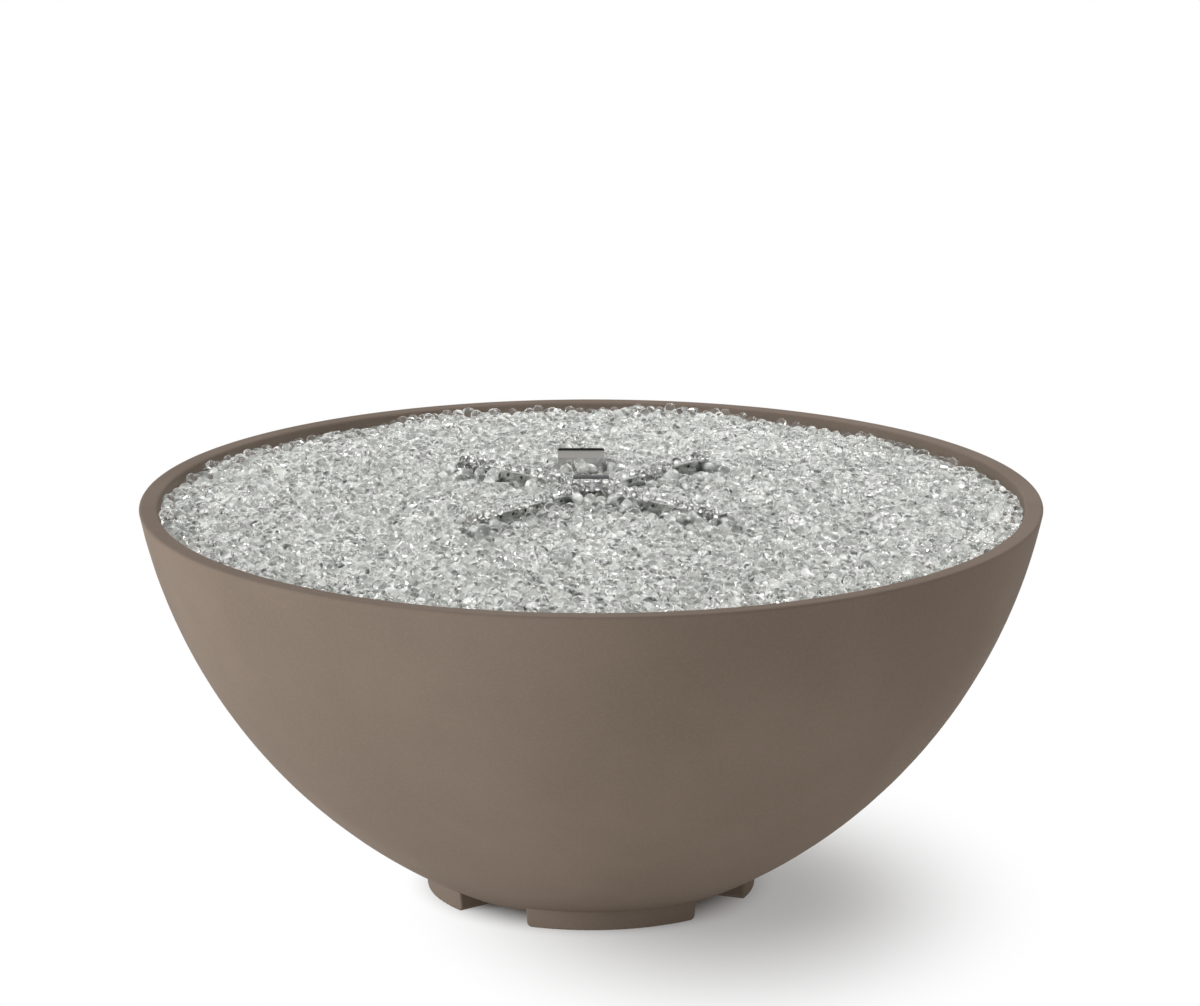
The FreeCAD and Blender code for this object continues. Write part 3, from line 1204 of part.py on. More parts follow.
def spark_module():
    x, y = module_centre()
    end = -MODULE_DEPTH - MODULE_LENGTH
    case = rounded_block(MODULE_WIDTH, MODULE_HEIGHT, MODULE_CORNER, end, -MODULE_DEPTH, x, y)
    pin = cylinder(MODULE_PIN_RADIUS, end - MODULE_PIN_LENGTH, end, x, y)
    return on_panel(case.fuse(pin))


# Gas inlet
def inlet_bracket():
    half = INLET_SPAN / 2
    leg = half - INLET_FOOT
    top = FLOOR_TOP + INLET_HEIGHT
    low = FLOOR_TOP
    sheet = INLET_SHEET
    outline = [(leg - sheet, top - sheet), (leg - sheet, low), (half, low), (half, low + sheet),
               (leg, low + sheet), (leg, top)]
    strap = folded(mirrored(outline), INLET_WIDTH, -INLET_WIDTH / 2)
    strap = strap.makeFillet(INLET_BEND, straight_edges(strap, top, leg))
    strap = strap.makeFillet(INLET_BEND - sheet, straight_edges(strap, top - sheet, leg - sheet))
    strap = spun(strap, 90)
    cuts = [cylinder(INLET_THREAD_RADIUS + SCREW_GAP, top - 2 * sheet, top + 1)]
    cuts += [screw_hole(low - 1, low + sheet + 1, x, y) for x, y in bracket_screw_places()]
    return strap.cut(cuts)


def bracket_screws():
    length = BRACKET_SCREW_LENGTH + INLET_SHEET - 1
    return [moved(screw(length), x, y, FLOOR_TOP + INLET_SHEET) for x, y in bracket_screw_places()]


def inlet_fitting():
    seat = FLOOR_TOP + INLET_HEIGHT
    body = rounded_block(INLET_BLOCK, INLET_BLOCK, BLOCK_ROUND, seat, seat + INLET_BLOCK)
    thread = cylinder(INLET_THREAD_RADIUS, seat - INLET_THREAD, seat)
    down = aimed(flare(FLARE_LENGTH), V(0, 0, seat - INLET_THREAD), DOWN)
    side = aimed(flare(SIDE_REACH), V(0, 0, BLOCK_Z), BACKWARD)
    cuts = [cylinder(GAS_BORE, seat - INLET_THREAD - FLARE_LENGTH - 1, BLOCK_Z),
            Part.makeCylinder(GAS_BORE, 2 * FLARE_REACH, V(0, 0, BLOCK_Z), BACKWARD)]
    return body.fuse([thread, down, side]).cut(cuts)


def inlet_locknut():
    top = FLOOR_TOP + INLET_HEIGHT - INLET_SHEET
    return hexagon(INLET_NUT_WIDTH, top - INLET_NUT, top, INLET_THREAD_RADIUS + RUN_GAP)


# Gas lines, each from fitting to fitting
def nut_end(tip, direction):
    return tip + direction * (NUT_LENGTH - FLARE_LENGTH + FLARE_BARE)


def flare_tips():
    out = PANEL_FRAME.Rotation.multVec(V(-1, 0, 0))
    down = PANEL_FRAME.Rotation.multVec(V(0, -1, 0))
    return {"valve_out": (panel_point(VALVE_X - OUTLET_REACH, 0, -OUTLET_DEPTH), out),
            "valve_in": (panel_point(VALVE_X, -INLET_REACH, -INLET_DEPTH), down),
            "elbow": (V(0, FLARE_REACH, ELBOW_Z), BACKWARD),
            "inlet": (V(0, SIDE_REACH, BLOCK_Z), BACKWARD)}


def hose_nuts():
    nuts = []
    for tip, direction in flare_tips().values():
        nut = hexagon(NUT_WIDTH, 0, NUT_LENGTH)
        nut = nut.cut(cylinder(FLARE_RADIUS + RUN_GAP, -1, FLARE_LENGTH - FLARE_BARE + RUN_GAP))
        nuts.append(aimed(nut, tip - direction * (FLARE_LENGTH - FLARE_BARE), direction))
    return nuts


def hose(name, from_fitting, to_fitting, first_run, route):
    start_tip, start_way = flare_tips()[from_fitting]
    end_tip, end_way = flare_tips()[to_fitting]
    start = nut_end(start_tip, start_way)
    end = nut_end(end_tip, end_way)
    near = start + start_way * first_run
    far = end + end_way * HOSE_LAST_RUN
    between = [near + (far - near) * share + V(side, 0, rise) for share, side, rise in route]
    return bent_tube(name, [start, near] + between + [far, end], HOSE_RADIUS)


def supply_hose():
    return hose("supply_hose", "valve_in", "inlet", SUPPLY_FIRST_RUN, SUPPLY_ROUTE)


def burner_hose():
    return hose("burner_hose", "valve_out", "elbow", BURNER_FIRST_RUN, BURNER_ROUTE)


def pilot_line(name, outlet, depth, place, radius):
    # straight out of the box through its grommet, under the tray and up into the pilot's piece
    x, y = outlet
    start = panel_point(x, y, -depth)
    first = panel_point(x, y, -depth - LINE_START)
    end = V(*place, PROBE_END)
    side = first.x - end.x
    between = [end + V(side * share, back, rise) for share, back, rise in PILOT_ROUTE]
    return bent_tube(name, [start, first] + between + [end], radius)


def pilot_tube():
    x, y, radius = grommet_places()[0]
    return pilot_line("pilot_tube", (x, y), -VALVE_BOTTOM, pilot_places()[1], radius)


def thermocouple_lead():
    x, y, radius = grommet_places()[1]
    return pilot_line("thermocouple_lead", (x, y), MAGNET_LENGTH - VALVE_BOTTOM, pilot_places()[2], radius)


def ignition_wire():
    x, y, radius = grommet_places()[2]
    depth = MODULE_DEPTH + MODULE_LENGTH + MODULE_PIN_LENGTH
    return pilot_line("ignition_wire", (x, y), depth, pilot_places()[0], radius)


# Write one file per sub-part
def save(name, *solids):
    shape = solids[0] if len(solids) == 1 else Part.makeCompound(list(solids))
    count = len(shape.Solids)
    print(name, "solids", count, "valid", shape.isValid(), "volume %.0f" % shape.Volume)
    shape.exportStep(os.path.join("parts", name + ".step"))


save("bowl_shell", bowl_shell())
save("bowl_feet", *bowl_feet())
save("burner_tray", burner_tray())
save("tray_stiffeners", *tray_stiffeners())
save("tray_screws", *tray_screws())
save("fire_glass", fire_glass())
save("burner_arms", *on_arms(burner_arm()))
save("arm_end_caps", *on_arms(arm_cap()))
save("burner_hub", burner_hub())
save("hub_bridge", hub_bridge())
save("burner_stands", *on_arms(burner_stand()))
save("stand_screws", *stand_screws())
save("hub_coupling", hub_coupling())
save("coupling_locknuts", *coupling_locknuts())
save("air_mixer", air_mixer())
save("air_shutter", air_shutter())
save("shutter_screw", shutter_screw())
save("gas_orifice", gas_orifice())
save("orifice_elbow", orifice_elbow())
save("pilot_hood", pilot_hood())
save("pilot_bracket", pilot_bracket())
save("pilot_screws", *pilot_screws())
save("pilot_nozzle", pilot_nozzle())
save("electrode_insulator", electrode_insulator())
save("electrode_rod", electrode_rod())
save("thermocouple_tip", thermocouple_tip())
save("control_panel", control_panel())
save("panel_screws", *panel_screws())
save("control_box", control_box())
save("box_grommets", *box_grommets())
save("control_knob", control_knob())
save("valve_stem", valve_stem())
save("valve_bonnet", valve_bonnet())
save("bonnet_screws", *bonnet_screws())
save("valve_body", valve_body())
save("valve_rotor", valve_rotor())
save("valve_spring", valve_spring())
save("valve_push_rod", valve_push_rod())
save("magnet_unit", magnet_unit())
save("igniter_body", igniter_body())
save("igniter_nut", igniter_nut())
save("igniter_button", igniter_button())
save("igniter_spring", igniter_spring())
save("igniter_battery", igniter_battery())
save("spark_module", spark_module())
save("inlet_bracket", inlet_bracket())
save("bracket_screws", *bracket_screws())
save("inlet_fitting", inlet_fitting())
save("inlet_locknut", inlet_locknut())
save("hose_nuts", *hose_nuts())
save("supply_hose", supply_hose())
save("burner_hose", burner_hose())
save("pilot_tube", pilot_tube())
save("thermocouple_lead", thermocouple_lead())
save("ignition_wire", ignition_wire())
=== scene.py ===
"""Studio scene of a garden gas fire bowl.

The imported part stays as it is. This script gives each of its pieces the finish of the
real material, heaps the loose glass in the bowl and stands it in a plain pale studio.
"""

import json
import logging
import math
from dataclasses import dataclass, field
from enum import Enum
from typing import ClassVar

import bmesh
import bpy
import numpy as np
from mathutils import Matrix, Vector

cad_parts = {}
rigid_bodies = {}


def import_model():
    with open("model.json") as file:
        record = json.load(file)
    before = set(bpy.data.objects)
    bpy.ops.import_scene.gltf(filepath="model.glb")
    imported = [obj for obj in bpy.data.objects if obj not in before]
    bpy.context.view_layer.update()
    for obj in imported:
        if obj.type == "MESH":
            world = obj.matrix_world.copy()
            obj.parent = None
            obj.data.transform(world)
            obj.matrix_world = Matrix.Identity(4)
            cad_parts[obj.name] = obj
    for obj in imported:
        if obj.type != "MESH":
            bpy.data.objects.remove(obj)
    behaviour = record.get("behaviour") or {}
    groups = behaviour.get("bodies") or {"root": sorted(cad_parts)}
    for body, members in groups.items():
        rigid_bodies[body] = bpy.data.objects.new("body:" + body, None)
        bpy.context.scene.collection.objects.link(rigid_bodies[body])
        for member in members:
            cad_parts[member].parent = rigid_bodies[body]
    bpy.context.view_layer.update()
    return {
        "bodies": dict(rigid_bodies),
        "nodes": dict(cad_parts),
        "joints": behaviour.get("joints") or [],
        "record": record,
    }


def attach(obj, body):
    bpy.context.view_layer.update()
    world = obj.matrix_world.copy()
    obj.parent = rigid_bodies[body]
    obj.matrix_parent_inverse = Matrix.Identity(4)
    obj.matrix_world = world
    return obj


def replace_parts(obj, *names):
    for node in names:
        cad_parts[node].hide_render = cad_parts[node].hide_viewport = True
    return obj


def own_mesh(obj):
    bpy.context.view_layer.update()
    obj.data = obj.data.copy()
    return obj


log = logging.getLogger("fire_bowl")
MM = 0.001
PHOTO_WIDTH = 1200
ARM_TURN = math.radians(48.5)       # of the burner's arms from the bowl's left and right

Tree = bpy.types.NodeTree
Source = bpy.types.NodeSocket | bpy.types.Node      # a node stands for its first output
Array = np.ndarray
Pair = tuple[float, float]
Spot = tuple[float, float, float]


# Colours, nodes and patterns
def linear(colour: str) -> tuple[float, float, float, float]:
    """Turn an sRGB hex colour into linear light.

    Args:
        colour: the colour as "#RRGGBB".

    Returns:
        Red, green, blue and alpha for a socket.
    """
    channels = [int(colour[k:k + 2], 16) / 255 for k in (1, 3, 5)]
    light = [c / 12.92 if c <= 0.04045 else ((c + 0.055) / 1.055) ** 2.4 for c in channels]
    return (*light, 1.0)


def add_node(tree: Tree, kind: str, values: dict | None = None, *inputs: object
             ) -> bpy.types.Node:
    """Add one node with its settings and links.

    Args:
        tree: the node tree that it goes into.
        kind: Blender's name of the node, without "ShaderNode".
        values: what its attributes are set to, and what goes into its inputs, by name
            or number.
        inputs: what goes into its inputs from the first on.

    Returns:
        The new node.
    """
    node = tree.nodes.new("ShaderNode" + kind)
    for key, value in ((values or {}) | dict(enumerate(inputs))).items():
        if isinstance(value, bpy.types.Node):
            value = value.outputs[0]
        if isinstance(value, bpy.types.NodeSocket):
            tree.links.new(value, node.inputs[key])
        elif isinstance(key, str) and hasattr(node, key):
            setattr(node, key, value)
        else:
            node.inputs[key].default_value = value
    return node


def per_metre(size_mm: float) -> float:
    """Give the texture scale at which a pattern's features are about this size."""
    return 1000 / size_mm


# A range of values becomes a share, softly at both ends: value, low, high, share at low, at high
SOFT = {"interpolation_type": "SMOOTHSTEP"}


def painted(tree: Tree, under: object, *coats: tuple[Source, str]) -> Source:
    """Lay colours over each other.

    Args:
        tree: the material's node tree.
        under: the lowest colour, linear or from a node.
        coats: the share in which each colour shows over those before, and its hex value.

    Returns:
        The socket of the colour that is seen.
    """
    for share, colour in coats:
        under = add_node(tree, "Mix", {"data_type": "RGBA", 0: share, 6: under,
                                       7: linear(colour)}).outputs[2]
    return under


class Grain(Enum):
    """The way that the marks of brushing, drawing or rolling run."""

    NONE = (1.0, 1.0, 1.0)
    ALONG_X = (0.03, 1.0, 1.0)
    ALONG_Y = (1.0, 0.03, 1.0)


@dataclass(frozen=True)
class Finish:
    """A surface with a base colour that drifts to a second one, and a fine grain.

    name says what the material is and how its surface was made. The drift and the
    grain are sized in millimetres of the real surface.
    """

    name: str
    colour: str
    second: str
    metallic: float = 0.0
    roughness: float = 0.5
    roughness_drift: float = 0.08
    drift_mm: float = 40.0
    grain_mm: float = 1.2
    grain_height_mm: float = 0.03
    grain: Grain = Grain.NONE
    specular: float = 0.5
    coat: float = 0.0
    coat_roughness: float = 0.1
    drift_detail: float = 3.0
    drift_roughness: float = 0.55
    drift_range: Pair = (0.3, 0.7)      # of the noise, that becomes the whole drift
    marks_detail: float = 2.0
    marks_share: float = 0.5            # of the roughness's change, beside the drift
    rough_range: Pair = (0.1, 1.4)      # of drift and marks, from smoothest to roughest

    def material(self) -> bpy.types.Material:
        """Make the material, or find it if it has been made.

        Returns:
            The material.
        """
        made = bpy.data.materials.get(self.name)
        if made is None:
            made = bpy.data.materials.new(self.name)
            made.use_nodes = True
            made.node_tree.nodes.clear()
            self.paint(made.node_tree)
        return made

    def place(self, tree: Tree) -> Source:
        """Give the point on the object, in metres."""
        return add_node(tree, "TexCoord").outputs["Object"]

    def drift(self, tree: Tree) -> Source:
        """Give the slow drift over the surface, from 0 to 1."""
        cloud = add_node(tree, "TexNoise", {
            "Vector": self.place(tree), "Scale": per_metre(self.drift_mm),
            "Detail": self.drift_detail, "Roughness": self.drift_roughness})
        return add_node(tree, "MapRange", SOFT, cloud, *self.drift_range)

    def marks(self, tree: Tree) -> Source:
        """Give the fine grain, stretched along the way that the surface was worked."""
        spread = add_node(tree, "Mapping", {"Scale": self.grain.value, "Vector": self.place(tree)})
        return add_node(tree, "TexNoise", {
            "Vector": spread, "Scale": per_metre(self.grain_mm), "Detail": self.marks_detail})

    def relief(self, tree: Tree, marks: Source) -> Source:
        """Give the normals of a surface with these marks."""
        return add_node(tree, "Bump", {"Strength": 1.0, "Distance": self.grain_height_mm * MM,
                                       "Height": marks})

    def colours(self, tree: Tree, drift: Source) -> Source:
        """Give the surface's colour where the drift has this value."""
        return painted(tree, linear(self.colour), (drift, self.second))

    def variation(self, tree: Tree) -> dict[str, Source]:
        """Give the shader's inputs that change over the surface besides colour and roughness."""
        return {}

    def paint(self, tree: Tree) -> None:
        """Fill the node tree with the colour, the roughness and the grain.

        Args:
            tree: the material's node tree, empty.
        """
        drift = self.drift(tree)
        marks = self.marks(tree)
        share = add_node(tree, "Math", {"operation": "MULTIPLY_ADD"}, marks, self.marks_share,
                         drift)
        low, high = self.roughness - self.roughness_drift, self.roughness + self.roughness_drift
        shader = add_node(tree, "BsdfPrincipled", {
            "Base Color": self.colours(tree, drift), "Metallic": self.metallic,
            "Roughness": add_node(tree, "MapRange", SOFT, share, *self.rough_range, low, high),
            "Normal": self.relief(tree, marks), "Specular IOR Level": self.specular,
            "Coat Weight": self.coat, "Coat Roughness": self.coat_roughness}
            | self.variation(tree))
        add_node(tree, "OutputMaterial", {}, shader)


@dataclass(frozen=True)
class CastConcrete(Finish):
    """Smooth glass-fibre-reinforced concrete, cast against a polished mould and sealed.

    Soft clouds of cement colour, a fine sandy grain, a few pinholes left by air with painted shade
    in them, and painted shade on the rim, which makes it a little darker and streakier than the
    wall.
    """

    sand_mm: float = 3.5
    sand_colour: str = "#A2968B"
    sand_range: Pair = (0.35, 0.75)
    sand_share: float = 0.12
    rim_height: float = 467 * MM
    rim_step: Pair = (-2 * MM, 3 * MM)  # about that height, where the rim's painted shade comes in
    # colour of the painted shade on the rim
    rim_shade_colour: str = "#84756A"
    streak_mm: float = 14.0
    streak_range: Pair = (0.3, 0.7)
    streak_shares: Pair = (0.25, 0.7)
    # pinholes are painted dark: painted shade in holes that the surface doesn't have
    pinhole_shade_colour: str = "#4A4038"
    pinhole_mm: float = 0.9
    pinhole_core: float = 0.7           # of its size, that is darkest
    pinhole_edge: float = 1.1
    pinhole_cell_mm: float = 130.0
    pinholes: tuple[Spot, ...] = ()

    def holes(self, tree: Tree, place: Source) -> Source:
        """Find the pinholes: one here and there, and those at their places.

        Args:
            tree: the material's node tree.
            place: the socket of the point on the object.

        Returns:
            The socket of how much of a hole there is.
        """
        cells = add_node(tree, "TexVoronoi", {"Scale": per_metre(self.pinhole_cell_mm),
                                              "Vector": place})
        reach = self.pinhole_mm / self.pinhole_cell_mm
        # where the pinholes' painted shade goes
        mask = add_node(tree, "MapRange", SOFT, cells, reach * self.pinhole_core, reach, 1.0, 0.0)
        size = self.pinhole_mm * MM
        for spot in self.pinholes:
            apart = add_node(tree, "VectorMath", {"operation": "DISTANCE"}, place, spot)
            one = add_node(tree, "MapRange", SOFT, apart.outputs["Value"],
                           size * self.pinhole_core, size * self.pinhole_edge, 1.0, 0.0)
            mask = add_node(tree, "Math", {"operation": "MAXIMUM"}, mask, one)
        return mask

    def colours(self, tree: Tree, drift: Source) -> Source:
        """Colour the cement with sand, painted shade on the rim, and pinholes painted dark as
        shade.

        Args:
            tree: the material's node tree.
            drift: the socket of the slow drift.

        Returns:
            The colour's socket.
        """
        place = self.place(tree)
        sand, streak = (add_node(tree, "TexNoise", {
            "Scale": per_metre(size), "Detail": detail, "Vector": place})
            for size, detail in ((self.sand_mm, 2.0), (self.streak_mm, 3.0)))
        sandy = add_node(tree, "MapRange", SOFT, sand, *self.sand_range, 0.0, self.sand_share)
        height = add_node(tree, "SeparateXYZ", {}, place).outputs["Z"]
        on_rim = add_node(tree, "MapRange", SOFT, height,
                          *(self.rim_height + step for step in self.rim_step))
        strength = add_node(tree, "MapRange", SOFT, streak, *self.streak_range,
                            *self.streak_shares)
        # painted shade on the rim, stronger in streaks
        rim = add_node(tree, "Math", {"operation": "MULTIPLY"}, on_rim, strength)
        return painted(tree, super().colours(tree, drift), (sandy, self.sand_colour),
                       (rim, self.rim_shade_colour), (self.holes(tree, place), self.pinhole_shade_colour))


@dataclass(frozen=True)
class HeatTintedSteel(Finish):
    """Stainless sheet that has been hot: a drift of greys, darkest round the ports.

    The ports lie in rows along two crossed bars, so the larger distance from the
    middle, in the bars' own turn, says how far along a bar a point is.
    """

    port_first: float = 62 * MM
    port_pitch: float = 21 * MM
    port_height: float = 482.8 * MM
    port_radius: float = 1.5 * MM
    scorch: str = "#8A8682"
    scorch_reach: float = 4 * MM
    scorch_share: float = 0.6

    def scorching(self, tree: Tree) -> Source:
        """Find how near a point is to a port.

        Args:
            tree: the material's node tree.

        Returns:
            The socket of the share that is scorched.
        """
        turned = add_node(tree, "VectorRotate", {
            "rotation_type": "Z_AXIS", "Angle": -ARM_TURN, "Vector": self.place(tree)})
        size = add_node(tree, "VectorMath", {"operation": "ABSOLUTE"}, turned)
        x, y, z = add_node(tree, "SeparateXYZ", {}, size).outputs[:3]
        along = add_node(tree, "Math", {"operation": "MAXIMUM"}, x, y)
        for operation, amount in (("SUBTRACT", self.port_first), ("PINGPONG", self.port_pitch / 2)):
            along = add_node(tree, "Math", {"operation": operation}, along, amount)
        above = add_node(tree, "Math", {"operation": "SUBTRACT"}, z, self.port_height)
        both = add_node(tree, "CombineXYZ", {}, along, above)
        reach = add_node(tree, "VectorMath", {"operation": "LENGTH"}, both).outputs["Value"]
        return add_node(tree, "MapRange", SOFT, reach, self.port_radius, self.scorch_reach,
                        self.scorch_share, 0.0)

    def colours(self, tree: Tree, drift: Source) -> Source:
        """Give the steel's colour with its heat tints and the scorched ports."""
        return painted(tree, super().colours(tree, drift), (self.scorching(tree), self.scorch))


@dataclass(frozen=True)
class ShadeToppedSteel(Finish):
    """Folded stainless sheet: bare sides, a roof painted a dim matt grey as a painted darker
    reflection and shade, and painted black shade on its top edge.
    """

    # the roof's colour: a painted dim reflection and shade
    roof_shade: str = "#9C9A96"
    roof_height: float = 495.6 * MM
    roof_roughness: float = 0.8
    # painted shade: black on the top edge
    top_shade: str = "#0E0C0B"
    top_shade_height: float = 496.2 * MM
    step: float = 0.3 * MM

    def above(self, tree: Tree, height: float, low: float = 0.0, high: float = 1.0) -> Source:
        """Give a value that goes from low to high over a soft step above a height."""
        level = add_node(tree, "SeparateXYZ", {}, self.place(tree)).outputs["Z"]
        return add_node(tree, "MapRange", SOFT, level, height, height + self.step, low, high)

    def colours(self, tree: Tree, drift: Source) -> Source:
        """Give the steel's colour, with painted shade: duller on the roof and black above it."""
        return painted(tree, super().colours(tree, drift),
                       (self.above(tree, self.roof_height), self.roof_shade),
                       (self.above(tree, self.top_shade_height), self.top_shade))

    def variation(self, tree: Tree) -> dict[str, Source]:
        """Give bare metal at the sides, and a matt surface under the painted shade above."""
        rough = self.above(tree, self.roof_height, self.roughness, self.roof_roughness)
        return {"Metallic": self.above(tree, self.roof_height, 1.0, 0.0), "Roughness": rough}


@dataclass(frozen=True)
class TumbledGlass(Finish):
    """Clear soda-lime glass, broken and tumbled smooth, with a faint grey-green body.

    Lamps shine through it, so what lies beneath is lit as it is under real glass.
    """

    ior: float = 1.5
    shade: str = "#FDFDFC"              # what lamplight keeps as it passes

    def paint(self, tree: Tree) -> None:
        """Fill the node tree with glass that lets lamplight through.

        Args:
            tree: the material's node tree, empty.
        """
        glass = add_node(tree, "BsdfPrincipled", {
            "Base Color": self.colours(tree, self.drift(tree)), "Roughness": self.roughness,
            "IOR": self.ior, "Transmission Weight": 1.0, "Specular IOR Level": self.specular,
            "Normal": self.relief(tree, self.marks(tree))})
        clear = add_node(tree, "BsdfTransparent", {"Color": linear(self.shade)})
        rays = add_node(tree, "LightPath")
        both = add_node(tree, "MixShader", {}, rays.outputs["Is Shadow Ray"], glass, clear)
        add_node(tree, "OutputMaterial", {}, both)


@dataclass(frozen=True)
class BeadDepth(Finish):
    """What shows between the upper beads: more beads, pale, with painted shade in the gaps between.
    """

    bead_mm: float = 9.0
    # painted shade in the gaps between the beads
    gap: str = "#A1A4A0"
    gap_range: Pair = (0.25, 0.75)

    def colours(self, tree: Tree, drift: Source) -> Source:
        """Colour pale beads with painted shade in their gaps.

        Args:
            tree: the material's node tree.
            drift: the socket of the slow drift.

        Returns:
            The colour's socket.
        """
        cells = add_node(tree, "TexVoronoi", {"Scale": per_metre(self.bead_mm),
                                              "Vector": self.place(tree)})
        share = add_node(tree, "MapRange", SOFT, cells, *self.gap_range)
        return painted(tree, super().colours(tree, drift), (share, self.gap))


# Smooth cast concrete, sealed: a warm grey body with faint clouds and a low satin sheen
CONCRETE = CastConcrete("sealed_cast_concrete", "#887B70", "#81756A", roughness=0.7,
                        roughness_drift=0.05, drift_mm=220.0, grain_mm=1.6,
                        grain_height_mm=0.02, specular=0.04,
                        pinholes=((-0.2362, -0.4688, 0.4474), (-0.2240, -0.4779, 0.4554)))
# Clear tumbled glass: sharp highlights, thin grey-green lines where it is looked through edgeways
BEAD_GLASS = TumbledGlass("clear_tumbled_glass", "#FDFDFC", "#FBFBFA", roughness=0.03,
                          grain_mm=5.0, grain_height_mm=0.25, drift_mm=60.0)
# The beads beneath: pale, with painted shade in the gaps
BEADS_BELOW = BeadDepth("tumbled_glass_beneath", "#EDEEEC", "#DFE1DD", roughness=0.2,
                        grain_mm=6.0, grain_height_mm=1.2, drift_mm=25.0)
# Stainless tube and sheet that the flame has dulled: warm to cool grey, soft shine
BURNER_STEEL = HeatTintedSteel("heat_tinted_stainless", "#BCBDBA", "#A8AAA6", metallic=1.0,
                               roughness=0.18, roughness_drift=0.05, drift_mm=30.0, grain_mm=0.9,
                               grain_height_mm=0.006)
# Welded end plates, which the outermost flames reach: scaled dark and dull
SCALED_STEEL = HeatTintedSteel("flame_scaled_stainless", "#969491", "#7B7977", metallic=1.0,
                               roughness=0.34, roughness_drift=0.08, drift_mm=9.0, grain_mm=0.9,
                               grain_height_mm=0.01)
# The hub: dark grey all over as painted shade, for the shade under the bridge; soft shine
SHADED_HUB_STEEL = HeatTintedSteel("hub_stainless_painted_shade", "#656564", "#555554", metallic=1.0,
                            roughness=0.3, roughness_drift=0.06, drift_mm=18.0, grain_mm=0.9,
                            grain_height_mm=0.006)
# The bridge over the hub, right in the flame: bare legs, its front edge painted dark grey and its
# top black, as painted shade
BRIDGE_STEEL = ShadeToppedSteel("bridge_stainless_painted_shade", "#A9AAA9", "#939493", metallic=1.0,
                           roughness=0.3, roughness_drift=0.08, drift_mm=12.0, grain_mm=0.9,
                           grain_height_mm=0.006, roof_shade="#454546", roof_height=498.0 * MM,
                           top_shade_height=499.8 * MM)
# Folded stainless cover, hot from the pilot: grey, fine cross grain, a painted dim reflection on
# the roof and painted black shade on the raised edge
HOOD_STEEL = ShadeToppedSteel("hood_stainless_painted_shade", "#CCCBC9", "#B9B8B6", metallic=1.0,
                         roughness=0.34, roughness_drift=0.06, drift_mm=22.0, grain_mm=0.7,
                         grain_height_mm=0.006, grain=Grain.ALONG_X)
# Rolled stainless sheet: even, slightly cloudy grey
ROLLED_STEEL = Finish("rolled_stainless", "#B4B3AF", "#9C9B98", metallic=1.0, roughness=0.34,
                      drift_mm=70.0, grain_mm=0.9, grain_height_mm=0.008, grain=Grain.ALONG_Y)
# Panel plate brushed along its length: long fine lines, 0.8 mm apart so that they show
BRUSHED_STEEL = Finish("brushed_stainless", "#C2C1BD", "#ACABA7", metallic=1.0, roughness=0.3,
                       roughness_drift=0.07, drift_mm=60.0, grain_mm=0.8, grain_height_mm=0.025,
                       grain=Grain.ALONG_X)
# Turned and punched stainless screws: bright, small machining marks
SCREW_STEEL = Finish("machined_stainless", "#BDBCB8", "#A3A29E", metallic=1.0, roughness=0.27,
                     drift_mm=6.0, grain_mm=0.5, grain_height_mm=0.008)
# Hard drawn spring wire: dark, lightly oiled
SPRING_STEEL = Finish("drawn_spring_wire", "#8F8E8B", "#76746F", metallic=1.0, roughness=0.32,
                      drift_mm=4.0, grain_mm=0.4, grain_height_mm=0.004)
# Zinc-plated sheet with black powder coat: faint orange peel, satin
POWDER_COAT = Finish("black_powder_coat", "#2B2B2B", "#242424", roughness=0.45, drift_mm=50.0,
                     grain_mm=1.8, grain_height_mm=0.05)
# Turned free-cutting brass: warm, brown where it has been handled
BRASS = Finish("turned_brass", "#C9A765", "#A98A4E", metallic=1.0, roughness=0.28,
               drift_mm=14.0, grain_mm=0.6, grain_height_mm=0.01)
# Die-cast zinc, tumbled: grey with a soft pebbly skin
CAST_ZINC = Finish("die_cast_zinc", "#A6A7A8", "#929394", metallic=1.0, roughness=0.42,
                   drift_mm=12.0, grain_mm=1.0, grain_height_mm=0.03)
# Black iron pipe: rolling scale under thin oil
BLACK_IRON = Finish("black_iron_pipe", "#3A3836", "#2C2A29", metallic=0.8, roughness=0.5,
                    drift_mm=18.0, grain_mm=1.5, grain_height_mm=0.05)
# Moulded phenolic knob: black, finely pitted, low shine
PHENOLIC = Finish("moulded_phenolic", "#1E1E1F", "#262626", roughness=0.42, drift_mm=15.0,
                  grain_mm=0.6, grain_height_mm=0.015)
# Gloss moulded nylon: black with a clear skin
GLOSS_PLASTIC = Finish("gloss_moulded_nylon", "#202122", "#1A1B1C", roughness=0.22, drift_mm=12.0,
                       grain_mm=2.0, grain_height_mm=0.01, coat=0.3)
# Potted plastic case: matt, slightly textured
MATT_PLASTIC = Finish("textured_moulded_plastic", "#2A2A2C", "#232325", roughness=0.6,
                      drift_mm=15.0, grain_mm=0.8, grain_height_mm=0.03)
# White paint wiped into the knob's groove and printed on the panel
WHITE_PAINT = Finish("white_paint", "#E9E8E2", "#DFDED8", roughness=0.5, drift_mm=5.0,
                     grain_mm=0.6, grain_height_mm=0.01)
# Black print baked on the steel panel
BLACK_PRINT = Finish("baked_black_print", "#1B1B1C", "#232324", roughness=0.45, drift_mm=5.0,
                     grain_mm=0.6, grain_height_mm=0.01)
# Glazed alumina tube: warm white under a clear glaze
ALUMINA = Finish("glazed_alumina", "#EFEBE2", "#E3DED3", roughness=0.18, drift_mm=8.0,
                 grain_mm=1.5, grain_height_mm=0.01, coat=0.5)
# Moulded rubber grommets: dull black
RUBBER = Finish("moulded_rubber", "#1F1F1F", "#2A2A29", roughness=0.7, drift_mm=6.0,
                grain_mm=0.8, grain_height_mm=0.03)
